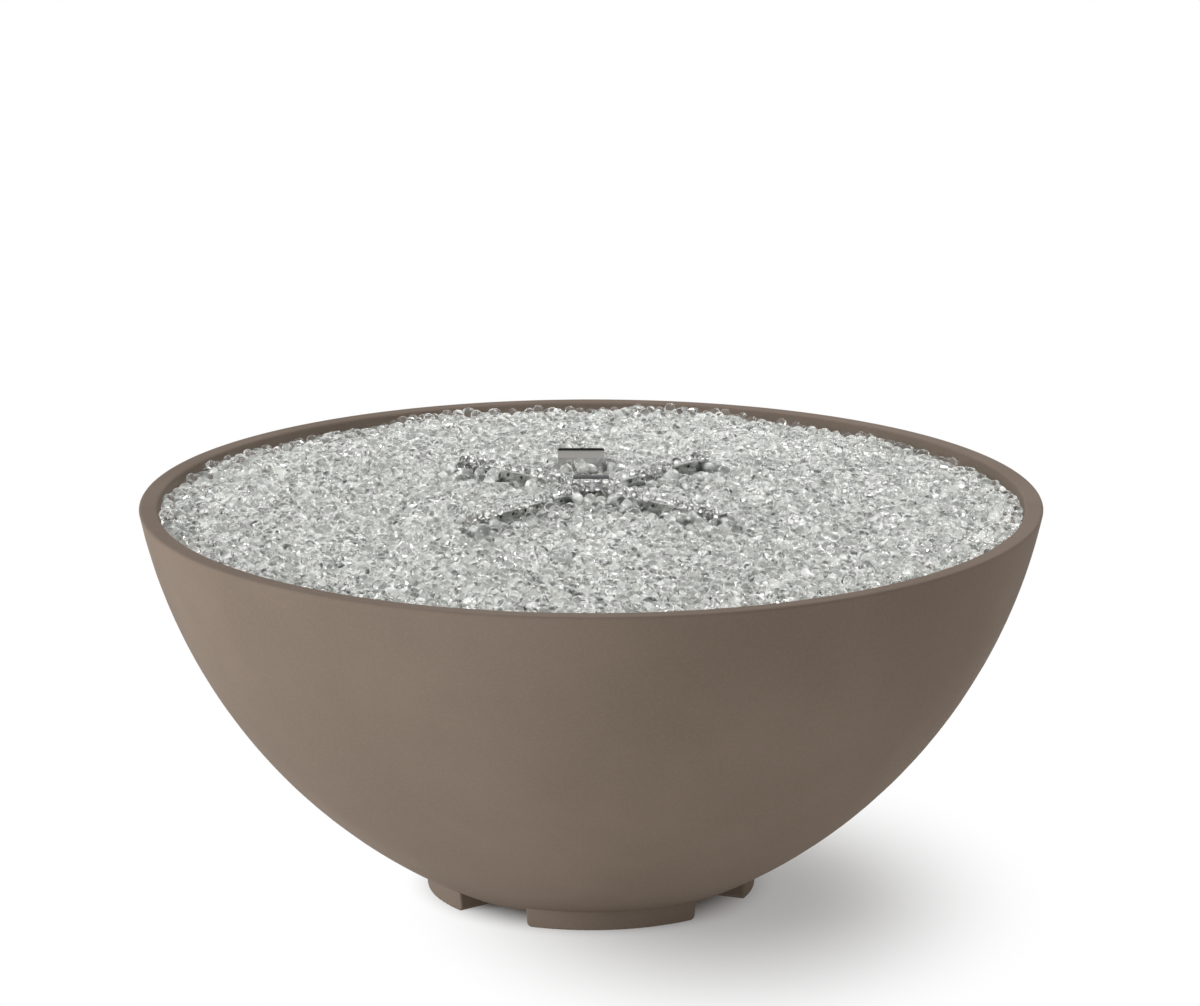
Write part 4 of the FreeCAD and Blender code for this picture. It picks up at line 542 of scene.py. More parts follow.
# Extruded hose cover: dull black with the fine print of its wrapping
HOSE_RUBBER = Finish("extruded_hose_cover", "#232323", "#2D2C2B", roughness=0.62, drift_mm=30.0,
                     grain_mm=1.4, grain_height_mm=0.08)
# Silicone sleeve of the spark wire: dull red, powdery
SILICONE = Finish("silicone_sleeve", "#9B2E26", "#8A2822", roughness=0.55, drift_mm=10.0,
                  grain_mm=0.8, grain_height_mm=0.02)
# Drawn copper tube: salmon, browning where air and heat reach it
COPPER = Finish("drawn_copper", "#C98D6B", "#9E6B50", metallic=1.0, roughness=0.3, drift_mm=20.0,
                grain_mm=0.7, grain_height_mm=0.008)
# Printed steel can of the cell, without any print of a maker
CELL_CAN = Finish("lacquered_cell_can", "#3A4048", "#333840", metallic=0.6, roughness=0.3,
                  drift_mm=9.0, grain_mm=1.0, grain_height_mm=0.005, coat=0.4)


# Pieces that are made here
def stand(name: str, data: bpy.types.ID) -> bpy.types.Object:
    """Put an object into the scene.

    Args:
        name: its name.
        data: its mesh, lamp or camera.

    Returns:
        The new object.
    """
    made = bpy.data.objects.new(name, data)
    bpy.context.scene.collection.objects.link(made)
    return made


def mesh_piece(name: str, verts: Array, faces: Array | list[list[int]], finish: Finish, slot: str,
               body: str = "root", smooth: bool = True) -> bpy.types.Object:
    """Make one piece from its points and faces, dress it and let it ride.

    Args:
        name: the piece's name.
        verts: its points, in metres.
        faces: its faces, as rows of point numbers.
        finish: what it is made of.
        slot: the record's material slot; not used.
        body: the body that it rides on.
        smooth: whether its faces are shaded smooth.

    Returns:
        The new object.
    """
    mesh = bpy.data.meshes.new(name)
    mesh.from_pydata(verts.tolist(), [], faces if isinstance(faces, list) else faces.tolist())
    mesh.polygons.foreach_set("use_smooth", [smooth] * len(mesh.polygons))
    mesh.materials.append(finish.material())
    mesh.update()
    piece = stand(name, mesh)
    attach(piece, body)
    return piece


def taken(made: bmesh.types.BMesh) -> tuple[Array, Array]:
    """Take the points and the triangles out of a bmesh and free it.

    Args:
        made: a bmesh whose faces are all triangles.

    Returns:
        Its points and its triangles.
    """
    made.verts.index_update()
    verts = np.array([v.co for v in made.verts])
    faces = np.array([[v.index for v in f.verts] for f in made.faces])
    made.free()
    return verts, faces


def ball(fineness: int) -> tuple[Array, Array]:
    """Make a ball of radius 1.

    Args:
        fineness: how often its 20 triangles are divided.

    Returns:
        Its points and its triangles.
    """
    made = bmesh.new()
    bmesh.ops.create_icosphere(made, subdivisions=fineness, radius=1.0)
    return taken(made)


def joined(parts: list[tuple[Array, list | Array]]) -> tuple[Array, list[list[int]]]:
    """Join several forms into one.

    Args:
        parts: the points and the faces of each.

    Returns:
        The points and the faces of them all.
    """
    all_faces, total = [], 0
    for verts, faces in parts:
        all_faces += [[int(k) + total for k in face] for face in faces]
        total += len(verts)
    return np.concatenate([verts for verts, _ in parts]), all_faces


@dataclass
class SubAssembly:
    """A group of pieces that is made and dressed together."""

    finishes: ClassVar[dict[str, Finish]] = {}      # of each CAD node in the group
    frame: dict

    def build(self) -> None:
        """Make the pieces that the CAD leaves to this scene."""

    def dress(self) -> None:
        """Give each CAD node of the group its material."""
        for name, finish in self.finishes.items():
            for slot in self.frame["nodes"][name].material_slots:
                slot.material = finish.material()
            log.info("%s: %s", name, finish.name)

    def coils(self, node: str, joint: str, travel: float, out: Vector) -> None:
        """Stand coils in for a CAD spring.

        Args:
            node: the CAD node of the spring.
            joint: the joint that presses it; not used.
            travel: how far that joint moves; not used.
            out: the way from the spring's fixed end to its pressed one.
        """
        source = self.frame["nodes"][node].data
        verts = np.array([v.co for v in source.vertices])
        faces = np.array([p.vertices for p in source.polygons])
        along = verts @ np.array(out)
        piece = mesh_piece(node + "_coils", verts, faces, SPRING_STEEL, "spring_steel")
        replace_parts(piece, node)
        verts[along.argmin()].tolist()
        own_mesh(piece)


@dataclass
class Bowl(SubAssembly):
    """The cast bowl and its four feet."""

    finishes: ClassVar[dict[str, Finish]] = {"bowl_shell": CONCRETE, "bowl_feet": CONCRETE}


@dataclass
class AtBurner(SubAssembly):
    """A group that is placed by the crossed burner and the pilot's hood."""

    arm_turn: float = ARM_TURN
    arm_reach: float = 205 * MM
    arm_half: float = 8 * MM
    arm_top: float = 488 * MM
    hub_half: float = 22 * MM
    hood_middle: Pair = (-12 * MM, 127 * MM)
    hood_half: Pair = (28 * MM, 19 * MM)


@dataclass
class GlassBed(AtBurner):
    """Tumbled glass heaped on the pan: a body, a lower layer and a packed top layer."""

    wall_arc: float = 628.565 * MM      # radius of the bowl's inner wall, less a small gap
    wall_arc_r: float = -102.957 * MM
    wall_arc_z: float = 599.582 * MM
    edge_height: float = 466 * MM       # top of the bed at the wall
    crown: float = 15 * MM              # top of the middle above the edge
    body_top: float = 455 * MM          # what is higher belongs to the top of the CAD's bed
    body_sunk: float = 17 * MM          # how far that top lies beneath the beads here
    same_point: float = 0.01 * MM       # points that are nearer become one
    # places, where a share is of the pitch
    pitch: float = 14.0 * MM            # between beads of the top layer
    lower_pitch: float = 14.4 * MM
    row_share: float = 0.866            # from row to row
    rim_share: float = 0.35             # least room to the wall
    lap_share: float = 0.1              # how far a place may lie under the burner's edge
    shuffle: float = 0.2
    lower_shuffle: float = 0.25
    # packing, where a share is of the beads' radii
    touch_share: float = 0.93           # how near two beads may lie
    side_share: float = 0.92            # how near the burner
    wall_share: float = 0.97            # how near the wall
    rounds: int = 36                    # of pushing beads apart
    push_share: float = 0.4             # of an overlap, that each bead gives way in a round
    # the form of a bead of radius 1
    bead_radii: Pair = (5.4 * MM, 9.8 * MM)
    radii_beta: Pair = (2.2, 2.6)       # most radii are middling
    fineness: int = 2
    shapes: int = 14
    waves: int = 3
    wave_turns: float = 1.3
    wave_phase: float = 6.28
    wave_height: float = 0.025
    facets: int = 2                     # at most
    facet_from: Pair = (0.65, 0.9)      # how far out a facet is worn
    facet_wear: float = 0.7
    long_side: float = 1.05
    short_sides: tuple[Pair, Pair] = ((0.86, 1.0), (0.76, 0.95))
    tilt: float = 0.42                  # spread of the beads' tilt, in radians
    # heights of the layers
    top_share: float = 0.8              # of its radius, that a bead's middle lies under the top
    level: Pair = (-0.4 * MM, 2.0 * MM)     # middle and spread of a bead's height
    level_limits: Pair = (-4.5 * MM, 4 * MM)
    lower_depth: float = 15.5 * MM      # of the lower beads' middles under the top
    lower_rise: Pair = (6.5 * MM, 14 * MM)  # height and reach, beside the burner
    lower_growth: float = 1.08          # of the lower beads' radii
    lower_spread: float = 1.2 * MM
    heaps: tuple[Pair, ...] = ((4.5 * MM, 30 * MM), (7.0 * MM, 11 * MM))
    hood_heap: Pair = (5.5 * MM, 13 * MM)   # height and reach, on top of the others
    dip_depth: float = 14 * MM          # of the hollows in front of the arms' bare stretches
    dip_reach: float = 9 * MM
    dip_out: float = 7 * MM             # from the arm's side
    # stretches of each arm, in mm from the middle, whose front side is bare
    bare: tuple[tuple[Pair, ...], ...] = (
        ((42, 78), (142, 182)), ((92, 126),), ((56, 76), (100, 118), (140, 164)), ((100, 122),))
    # beads on the arms: room at the hub and at the end, then in mm places aside, radii, steps
    arm_room: Pair = (6 * MM, 3 * MM)
    aside_bare: tuple[float, ...] = (-3.5,)
    aside_full: tuple[float, ...] = (-6.5, 0.0, 6.5)
    arm_radii: Pair = (5.0, 7.2)
    arm_step: Pair = (9.5, 12.0)
    arm_scatter: Pair = (1, 2)          # aside and along
    arm_rise: Pair = (0.1, 0.35)        # of their middles over the arm, as shares of the radius
    # beads on the hub, in mm from its middle: before the bridge and behind it
    on_hub: tuple[Pair, ...] = (
        (-15, -17), (-5, -21), (7, -20), (17, -13), (-19, -8), (-5, 23), (7, 23), (-17, 16),
        (17, 15))
    hub_rise: float = 2.0 * MM
    hub_radii: Pair = (4.2, 5.4)
    # beads against the ends of the front arms, in mm: x, y and height of their middles
    at_ends: tuple[Spot, ...] = (
        (165, -137, 483), (155, -147, 482), (161, -150, 476), (-144, -163, 481), (-152, -152, 478))
    end_radii: Pair = (6.5, 7.5)
    # how far the bed's edge lies above its level, in mm, at these degrees round the bowl
    edge_turns: tuple[float, ...] = (
        -180, -160, -20, 0, 20, 35, 42, 48, 58, 66, 71, 85, 90, 104, 107, 117, 122, 141, 148, 158,
        166, 180)
    edge_levels: tuple[float, ...] = (
        2, 1, 1, 2.5, -5, -6, -2, -3.5, -4, -4, 4, 4.5, -0.5, -1, 2, 2, -5, -5, 0, 0, -5, 2)
    edge_reach: float = 55 * MM         # how far in from the wall its edge is uneven
    seed: int = 41
    random: np.random.Generator = field(init=False)

    def __post_init__(self) -> None:
        """Seed the heap, so that each run gives the same one."""
        self.random = np.random.default_rng(self.seed)

    def wall_radius(self, height: Array) -> Array:
        """Give the radius of the bowl's inner wall at a height."""
        return self.wall_arc_r + np.sqrt(self.wall_arc ** 2 - (self.wall_arc_z - height) ** 2)

    def surface(self, places: Array) -> Array:
        """Find the top of the bed, which is crowned and has an uneven edge.

        Args:
            places: places in plan, in metres.

        Returns:
            The height of the bed's top over each place.
        """
        reach = self.wall_radius(np.array(self.edge_height))
        far = np.hypot(places[:, 0], places[:, 1])
        turns = np.degrees(np.arctan2(places[:, 1], places[:, 0]))
        uneven = np.interp(turns, self.edge_turns, self.edge_levels) * MM
        uneven *= np.exp(-((reach - far) / self.edge_reach) ** 2)
        return self.edge_height + self.crown * (1 - (far / reach) ** 2) + uneven

    def to_arms(self, places: Array) -> Array:
        """Turn places so that the arms lie along the axes."""
        c, s = math.cos(self.arm_turn), math.sin(self.arm_turn)
        return places @ np.array([[c, -s], [s, c]])

    def from_arms(self, places: Array) -> Array:
        """Turn places back from the arms' own axes."""
        c, s = math.cos(self.arm_turn), math.sin(self.arm_turn)
        return places @ np.array([[c, s], [-s, c]])

    def boxes(self) -> list[tuple[bool, Pair, Pair]]:
        """Give what stands in the glass: whether in the arms' axes, middle, half size."""
        return [(True, (0, 0), (self.arm_reach, self.arm_half)),
                (True, (0, 0), (self.arm_half, self.arm_reach)),
                (True, (0, 0), (self.hub_half, self.hub_half)),
                (False, self.hood_middle, self.hood_half)]

    def gap_to_burner(self, places: Array) -> Array:
        """Find how far places lie from what stands in the glass.

        Args:
            places: places in plan, in metres.

        Returns:
            Each place's distance, negative inside the burner or the hood.
        """
        gaps = []
        turned = self.to_arms(places)
        for in_arms, middle, half in self.boxes():
            away = np.abs((turned if in_arms else places) - middle) - half
            outside = np.hypot(*np.maximum(away, 0).T)
            gaps.append(outside + np.minimum(away.max(1), 0))
        return np.min(gaps, 0)

    def push_out(self, places: Array, radii: Array) -> Array:
        """Move beads out of what stands in the glass and in from the wall.

        Args:
            places: their places in plan.
            radii: their radii.

        Returns:
            The places that are clear.
        """
        for in_arms, middle, half in self.boxes():
            local = self.to_arms(places) if in_arms else places.copy()
            away = local - middle
            room = np.array(half) + radii[:, None] * self.side_share
            over = room - np.abs(away)
            inside = (over > 0).all(1)
            nearer = over[:, 0] < over[:, 1]
            side = np.where(away >= 0, 1.0, -1.0)
            for axis, chosen in ((0, inside & nearer), (1, inside & ~nearer)):
                local[chosen, axis] += (side * over)[chosen, axis]
            places = self.from_arms(local) if in_arms else local
        far = np.hypot(*places.T)
        limit = self.wall_radius(self.surface(places) - radii) - radii * self.wall_share
        return places * np.minimum(1, limit / np.maximum(far, 1e-6))[:, None]

    def grid(self, pitch: float) -> tuple[Array, Array]:
        """Lay places on a close grid inside the wall and beside the burner.

        Args:
            pitch: the distance between neighbours.

        Returns:
            The places, and the pairs of them that lie near each other.
        """
        reach = self.wall_radius(np.array(self.edge_height))
        rows = int(2 * reach / (pitch * self.row_share)) + 2
        columns = int(2 * reach / pitch) + 2
        row, column = np.mgrid[0:rows, 0:columns]
        x = (column + 0.5 * (row % 2)) * pitch - reach
        y = row * pitch * self.row_share - reach
        places = np.stack([x.ravel(), y.ravel()], 1)
        pairs = []
        for down, across in ((0, 1), (0, 2), (1, -1), (1, 0), (1, 1), (2, -1), (2, 0), (2, 1)):
            r, c = row + down, column + across
            good = (r < rows) & (c >= 0) & (c < columns)
            pairs.append(np.stack([(row * columns + column)[good], (r * columns + c)[good]], 1))
        keep = ((np.hypot(*places.T) < reach - pitch * self.rim_share)
                & (self.gap_to_burner(places) > -pitch * self.lap_share))
        number = np.cumsum(keep) - 1
        pairs = np.concatenate(pairs)
        pairs = pairs[keep[pairs].all(1)]
        return places[keep], number[pairs]

    def settle(self, places: Array, pairs: Array, radii: Array) -> Array:
        """Shuffle the places and push overlapping beads apart.

        Args:
            places: the beads' places in plan.
            pairs: the numbers of the beads that lie near each other.
            radii: their radii.

        Returns:
            The settled places.
        """
        places = places + self.random.normal(0, self.pitch * self.shuffle, places.shape)
        first, second = pairs.T
        room = (radii[first] + radii[second]) * self.touch_share
        for _ in range(self.rounds):
            apart = places[second] - places[first]
            length = np.maximum(np.hypot(*apart.T), 1e-6)
            overlap = np.maximum(room - length, 0)[:, None]
            push = overlap * apart / length[:, None] * self.push_share
            np.add.at(places, first, -push)
            np.add.at(places, second, push)
            places = self.push_out(places, radii)
        return places

    def bead_shape(self) -> tuple[Array, Array]:
        """Make one bead of radius 1: a squashed ball with worn facets.

        Returns:
            Its points and its triangles.
        """
        verts, faces = ball(self.fineness)
        bumps = np.zeros(len(verts))
        for _ in range(self.waves):
            way = self.random.normal(size=3)
            phase = self.random.uniform(0, self.wave_phase)
            bumps += np.sin(verts @ way * self.wave_turns + phase)
        verts = verts * (1 + self.wave_height * bumps)[:, None]
        for _ in range(self.random.integers(0, self.facets + 1)):
            way = self.random.normal(size=3)
            way /= np.linalg.norm(way)
            over = np.maximum(verts @ way - self.random.uniform(*self.facet_from), 0)
            verts = verts - self.facet_wear * over[:, None] * way
        sides = [self.random.uniform(*limits) for limits in self.short_sides]
        return verts * np.array([self.long_side, *sides]), faces

    def turns(self, count: int) -> Array:
        """Turn beads any way round, and tilt them as they lie in a heap.

        Args:
            count: how many beads.

        Returns:
            A rotation matrix for each.
        """
        spin = self.random.uniform(0, 2 * np.pi, count)
        tilt = self.random.normal(0, self.tilt, count)
        lean = self.random.uniform(0, 2 * np.pi, count)
        return np.array([Matrix.Rotation(t, 3, Vector((math.cos(w), math.sin(w), 0)))
                         @ Matrix.Rotation(s, 3, "Z") for s, t, w in zip(spin, tilt, lean)])

    def beads(self, places: Array, radii: Array) -> tuple[Array, Array]:
        """Put a bead of one of the shapes at each place.

        Args:
            places: the beads' middles, in metres.
            radii: their radii.

        Returns:
            The points and the triangles of all the beads.
        """
        shapes = [self.bead_shape() for _ in range(self.shapes)]
        kinds = self.random.integers(0, self.shapes, len(places))
        turns = self.turns(len(places))
        all_verts, all_faces, total = [], [], 0
        for number, (verts, faces) in enumerate(shapes):
            chosen = np.flatnonzero(kinds == number)
            moved = np.einsum("vj,bij->bvi", verts, turns[chosen]) * radii[chosen, None, None]
            moved += places[chosen, None, :]
            starts = total + np.arange(len(chosen)) * len(verts)
            all_verts.append(moved.reshape(-1, 3))
            all_faces.append((faces[None] + starts[:, None, None]).reshape(-1, 3))
            total += moved.shape[0] * moved.shape[1]
        return np.concatenate(all_verts), np.concatenate(all_faces)

    def lay(self, parts: dict[str, Array], places: Array, radii: Array, finish: Finish) -> None:
        """Make pieces of beads in place of the CAD's bed.

        Args:
            parts: which of the beads go into each piece, by its name.
            places: the middles of all the beads.
            radii: their radii.
            finish: what they are made of.
        """
        for name, chosen in parts.items():
            verts, faces = self.beads(places[chosen], radii[chosen])
            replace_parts(mesh_piece(name, verts, faces, finish, "fire_glass"), "fire_glass")

    def ways(self, arm: int) -> tuple[Array, Array]:
        """Find an arm's directions in plan.

        Args:
            arm: the arm's number.

        Returns:
            The way along the arm and the way out of its front side.
        """
        turn = self.arm_turn + arm * math.pi / 2
        along = np.array([math.cos(turn), math.sin(turn)])
        front = np.array([-along[1], along[0]])
        return along, front * (-1 if front[1] > 0 else 1)

    def heaping(self, places: Array) -> Array:
        """Find how much the glass is heaped against the burner and dips before bare edges.

        Args:
            places: places in plan, in metres.

        Returns:
            The height that it adds at each place.
        """
        gap = np.maximum(self.gap_to_burner(places), 0)
        heap = sum(height * np.exp(-(gap / reach) ** 2) for height, reach in self.heaps)
        to_hood = np.abs(places - self.hood_middle) - self.hood_half
        to_hood = np.hypot(*np.maximum(to_hood, 0).T)
        heap += self.hood_heap[0] * np.exp(-(to_hood / self.hood_heap[1]) ** 2)
        for arm, stretches in enumerate(self.bare):
            along, front = self.ways(arm)
            at, out = places @ along, places @ front - self.arm_half - self.dip_out
            for start, end in stretches:
                past = np.maximum(np.maximum(start * MM - at, at - end * MM), 0)
                heap -= self.dip_depth * np.exp(-(np.hypot(past, out) / self.dip_reach) ** 2)
        return heap

    def radii(self, count: int) -> Array:
        """Give bead radii, most of them middling."""
        low, high = self.bead_radii
        return low + (high - low) * self.random.beta(*self.radii_beta, count)

    def top_layer(self) -> tuple[Array, Array]:
        """Settle the top layer.

        Returns:
            The beads' middles and radii.
        """
        plan, pairs = self.grid(self.pitch)
        radii = self.radii(len(plan))
        plan = self.settle(plan, pairs, radii)
        height = self.surface(plan) + self.heaping(plan) - radii * self.top_share
        height += np.clip(self.random.normal(*self.level, len(plan)), *self.level_limits)
        return np.column_stack([plan, height]), radii

    def resting(self) -> tuple[Array, Array]:
        """Place beads on the arms, behind a bare front edge or all over, on the hub and at ends.

        Returns:
            The beads' middles and radii.
        """
        draw = self.random.uniform
        to_side, to_end = self.arm_scatter
        places, sizes = [], []
        for arm, stretches in enumerate(self.bare):
            along, front = self.ways(arm)
            at = self.hub_half + self.arm_room[0]
            while at < self.arm_reach - self.arm_room[1]:
                edge_shows = any(start <= at / MM <= end for start, end in stretches)
                for aside in self.aside_bare if edge_shows else self.aside_full:
                    radius = draw(*self.arm_radii) * MM
                    spot = along * at + front * (aside + draw(-to_side, to_side)) * MM
                    spot = spot + along * draw(-to_end, to_end) * MM
                    places.append((*spot, self.arm_top + radius * draw(*self.arm_rise)))
                    sizes.append(radius)
                at += draw(*self.arm_step) * MM
        for x, y in self.on_hub:
            places.append((x * MM, y * MM, self.arm_top + self.hub_rise))
            sizes.append(draw(*self.hub_radii) * MM)
        for x, y, z in self.at_ends:
            places.append((x * MM, y * MM, z * MM))
            sizes.append(draw(*self.end_radii) * MM)
        return np.array(places), np.array(sizes)

    def lower_layer(self) -> tuple[Array, Array]:
        """Place the beads of the lower layer.

        Returns:
            The beads' middles and radii.
        """
        plan, _ = self.grid(self.lower_pitch)
        radii = self.radii(len(plan)) * self.lower_growth
        shuffled = plan + self.random.normal(0, self.pitch * self.lower_shuffle, plan.shape)
        plan = self.push_out(shuffled, radii)
        rise, reach = self.lower_rise
        height = self.surface(plan) + self.heaping(plan) - self.lower_depth
        height += rise * np.exp(-(np.maximum(self.gap_to_burner(plan), 0) / reach) ** 2)
        height += self.random.normal(0, self.lower_spread, len(plan))
        return np.column_stack([plan, height]), radii

    def body(self) -> bpy.types.Object:
        """Make the body of the bed: the CAD bed's own form, its top sunk beneath the beads.

        Returns:
            The new object.
        """
        made = bmesh.new()
        made.from_mesh(self.frame["nodes"]["fire_glass"].data)
        for point in made.verts:
            if point.co.z > self.body_top:
                point.co.z -= self.body_sunk
        bmesh.ops.remove_doubles(made, verts=made.verts, dist=self.same_point)
        return mesh_piece("bed_body", *taken(made), BEADS_BELOW, "fire_glass", smooth=False)

    def build(self) -> None:
        """Make the heap of glass in place of the CAD's plain bed."""
        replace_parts(self.body(), "fire_glass")
        places, radii = self.top_layer()
        on_arms, arm_radii = self.resting()
        places = np.concatenate([places, on_arms])
        radii = np.concatenate([radii, arm_radii])
        right, back = places[:, 0] > 0, places[:, 1] > 0
        self.lay({"beads_front_left": ~right & ~back, "beads_front_right": right & ~back,
                  "beads_back_left": ~right & back, "beads_back_right": right & back},
                 places, radii, BEAD_GLASS)
        lower, lower_radii = self.lower_layer()
        behind = lower[:, 1] > 0
        self.lay({"beads_beneath_front": ~behind, "beads_beneath_back": behind},
                 lower, lower_radii, BEADS_BELOW)
        log.info("%d beads in the top layer", len(places))


@dataclass
class Burner(AtBurner):
    """The crossed burner with its hub, bridge and stands."""

    weld_step: float = 1.3 * MM
    weld_half: Spot = (1.5 * MM, 0.93 * MM, 0.63 * MM)  # half sizes of a weld's scale
    weld_out: float = 0.4 * MM          # from the hub's side
    weld_sunk: float = 0.2 * MM         # under the arm's top
    weld_fineness: int = 2

    finishes: ClassVar[dict[str, Finish]] = {
        "burner_arms": BURNER_STEEL, "arm_end_caps": SCALED_STEEL, "burner_hub": SHADED_HUB_STEEL,
        "hub_bridge": BRIDGE_STEEL, "burner_stands": BURNER_STEEL, "stand_screws": SCREW_STEEL}

    def build(self) -> None:
        """Lay a weld across each arm where it meets the hub."""
        verts, faces = ball(self.weld_fineness)
        verts = verts * np.array(self.weld_half)
        steps = int(2 * self.arm_half / self.weld_step)
        scales = []
        for arm in range(4):
            spin = Matrix.Rotation(self.arm_turn + arm * math.pi / 2, 3, "Z")
            for side in range(steps + 1):
                across = -self.arm_half + side * 2 * self.arm_half / steps
                spot = spin @ Vector((self.hub_half + self.weld_out, across,
                                      self.arm_top - self.weld_sunk))
                scales.append((verts @ np.array(spin).T + np.array(spot), faces))
        mesh_piece("hub_welds", *joined(scales), BURNER_STEEL, "burner_steel")


@dataclass
class Pilot(AtBurner):
    """The pilot burner under its folded hood."""

    sheet: float = 1.2 * MM
    ear_inset: float = 0.05 * MM        # from the back of the raised edge
    # half of the ear's outline, out from the raised edge: x from the middle and height
    ear: tuple[Pair, ...] = (
        (24.0, 495.2), (27.6, 495.2), (27.9, 496.8), (27.5, 498.0), (26.6, 498.7), (24.0, 499.0))

    finishes: ClassVar[dict[str, Finish]] = {
        "pilot_hood": HOOD_STEEL, "pilot_bracket": ROLLED_STEEL, "pilot_screws": SCREW_STEEL,
        "pilot_nozzle": BRASS, "electrode_insulator": ALUMINA, "electrode_rod": SCREW_STEEL,
        "thermocouple_tip": SCREW_STEEL}

    def build(self) -> None:
        """Carry the hood's raised edge on to both corners, with rounded ears."""
        count = len(self.ear)
        back = self.hood_middle[1] + self.hood_half[1] - self.ear_inset
        ears = []
        for side in (-1, 1):
            verts = np.array([(self.hood_middle[0] + side * x * MM, y, z * MM)
                              for y in (back - self.sheet, back) for x, z in self.ear])
            faces = []
            for k in range(1, count - 1):
                faces += [[0, k, k + 1], [count, count + k + 1, count + k]]
            for k in range(count):
                after = (k + 1) % count
                faces += [[k, k + count, after + count], [k, after + count, after]]
            ears.append((verts, [face[::side] for face in faces]))
        mesh_piece("hood_ears", *joined(ears), HOOD_STEEL, "burner_steel", smooth=False)


@dataclass
class Tray(SubAssembly):
    """The pan that carries the glass and the burner."""

    finishes: ClassVar[dict[str, Finish]] = {
        "burner_tray": ROLLED_STEEL, "tray_stiffeners": ROLLED_STEEL, "tray_screws": SCREW_STEEL}


@dataclass
class GasTrain(SubAssembly):
    """Coupling, mixer, shutter and orifice below the hub."""

    finishes: ClassVar[dict[str, Finish]] = {
        "hub_coupling": BLACK_IRON, "coupling_locknuts": BLACK_IRON, "air_mixer": BLACK_IRON,
        "air_shutter": ROLLED_STEEL, "shutter_screw": BRASS, "gas_orifice": BRASS,
        "orifice_elbow": BRASS}


@dataclass
class ControlPanel(SubAssembly):
    """The brushed plate at the back, with the marks round its knob and beside its button."""

    origin: Vector = field(default_factory=lambda: Vector((0, 457.0833, 289.8251)) * MM)
    out: Vector = field(default_factory=lambda: Vector((0, 0.875069, -0.483999)))
    up: Vector = field(default_factory=lambda: Vector((0, 0.483999, 0.875069)))
    right: Vector = field(default_factory=lambda: Vector((-1, 0, 0)))
    face: float = 2 * MM
    print_depth: float = 0.12 * MM
    knob_x: float = -32 * MM
    button_x: float = 34 * MM
    # marks on the ring round the knob: degrees from and to, height at each end in mm
    ring: float = 27.5 * MM
    marks: tuple[tuple[float, float, float, float], ...] = (
        (87, 93, 4, 4), (138, 142, 2.5, 2.5), (165, 300, 0.6, 4.5))
    mark_step: float = 5                # degrees
    spark_height: float = 24 * MM
    # the plain zigzag that marks a spark button, in mm
    spark: tuple[Pair, ...] = (
        (0.5, 5), (-2.6, -0.6), (-0.5, -0.6), (-1.4, -5), (2.4, 1.0), (0.4, 1.0), (2.2, 5))

    finishes: ClassVar[dict[str, Finish]] = {
        "control_panel": BRUSHED_STEEL, "panel_screws": SCREW_STEEL, "control_box": POWDER_COAT,
        "box_grommets": RUBBER}

    def point(self, x: float, y: float, z: float) -> Vector:
        """Give the point at these distances right, up and out on the panel."""
        return self.origin + self.right * x + self.up * y + self.out * z

    def prism(self, outline: list[Pair], low: float, high: float
              ) -> tuple[Array, list[list[int]]]:
        """Raise a flat form on the panel.

        Args:
            outline: its corners, right and up on the panel.
            low: its foot, over the panel's back.
            high: its top.

        Returns:
            Its points and its faces.
        """
        count = len(outline)
        verts = [self.point(x, y, z) for z in (low, high) for x, y in outline]
        sides = [[k, (k + 1) % count, count + (k + 1) % count, count + k] for k in range(count)]
        ends = [list(range(count))[::-1], list(range(count, 2 * count))]
        return np.array(verts), ends + sides

    def ring_part(self, start: float, end: float, from_mm: float, to_mm: float) -> list[Pair]:
        """Outline part of the ring round the knob.

        Args:
            start: the degrees where it starts.
            end: the degrees where it ends.
            from_mm: its height over the ring at the start.
            to_mm: its height at the end.

        Returns:
            Its corners.
        """
        steps = max(2, int(abs(end - start) / self.mark_step))
        low, high = self.ring + from_mm * MM, self.ring + to_mm * MM
        rim, back = [], []
        for k in range(steps + 1):
            share = k / steps
            angle = math.radians(start + (end - start) * share)
            for line, radius in ((rim, low + (high - low) * share), (back, self.ring)):
                line.append((self.knob_x + radius * math.cos(angle), radius * math.sin(angle)))
        return rim + back[::-1]

    def build(self) -> None:
        """Print the marks: off, pilot, a band that widens from low to high, and the spark."""
        outlines = [self.ring_part(*mark) for mark in self.marks]
        outlines.append([(self.button_x + x * MM, self.spark_height + y * MM)
                         for x, y in self.spark])
        low, high = self.face - self.print_depth, self.face + self.print_depth
        verts, faces = joined([self.prism(outline, low, high) for outline in outlines])
        mesh_piece("panel_marks", verts, faces, BLACK_PRINT, "knob_plastic", smooth=False)


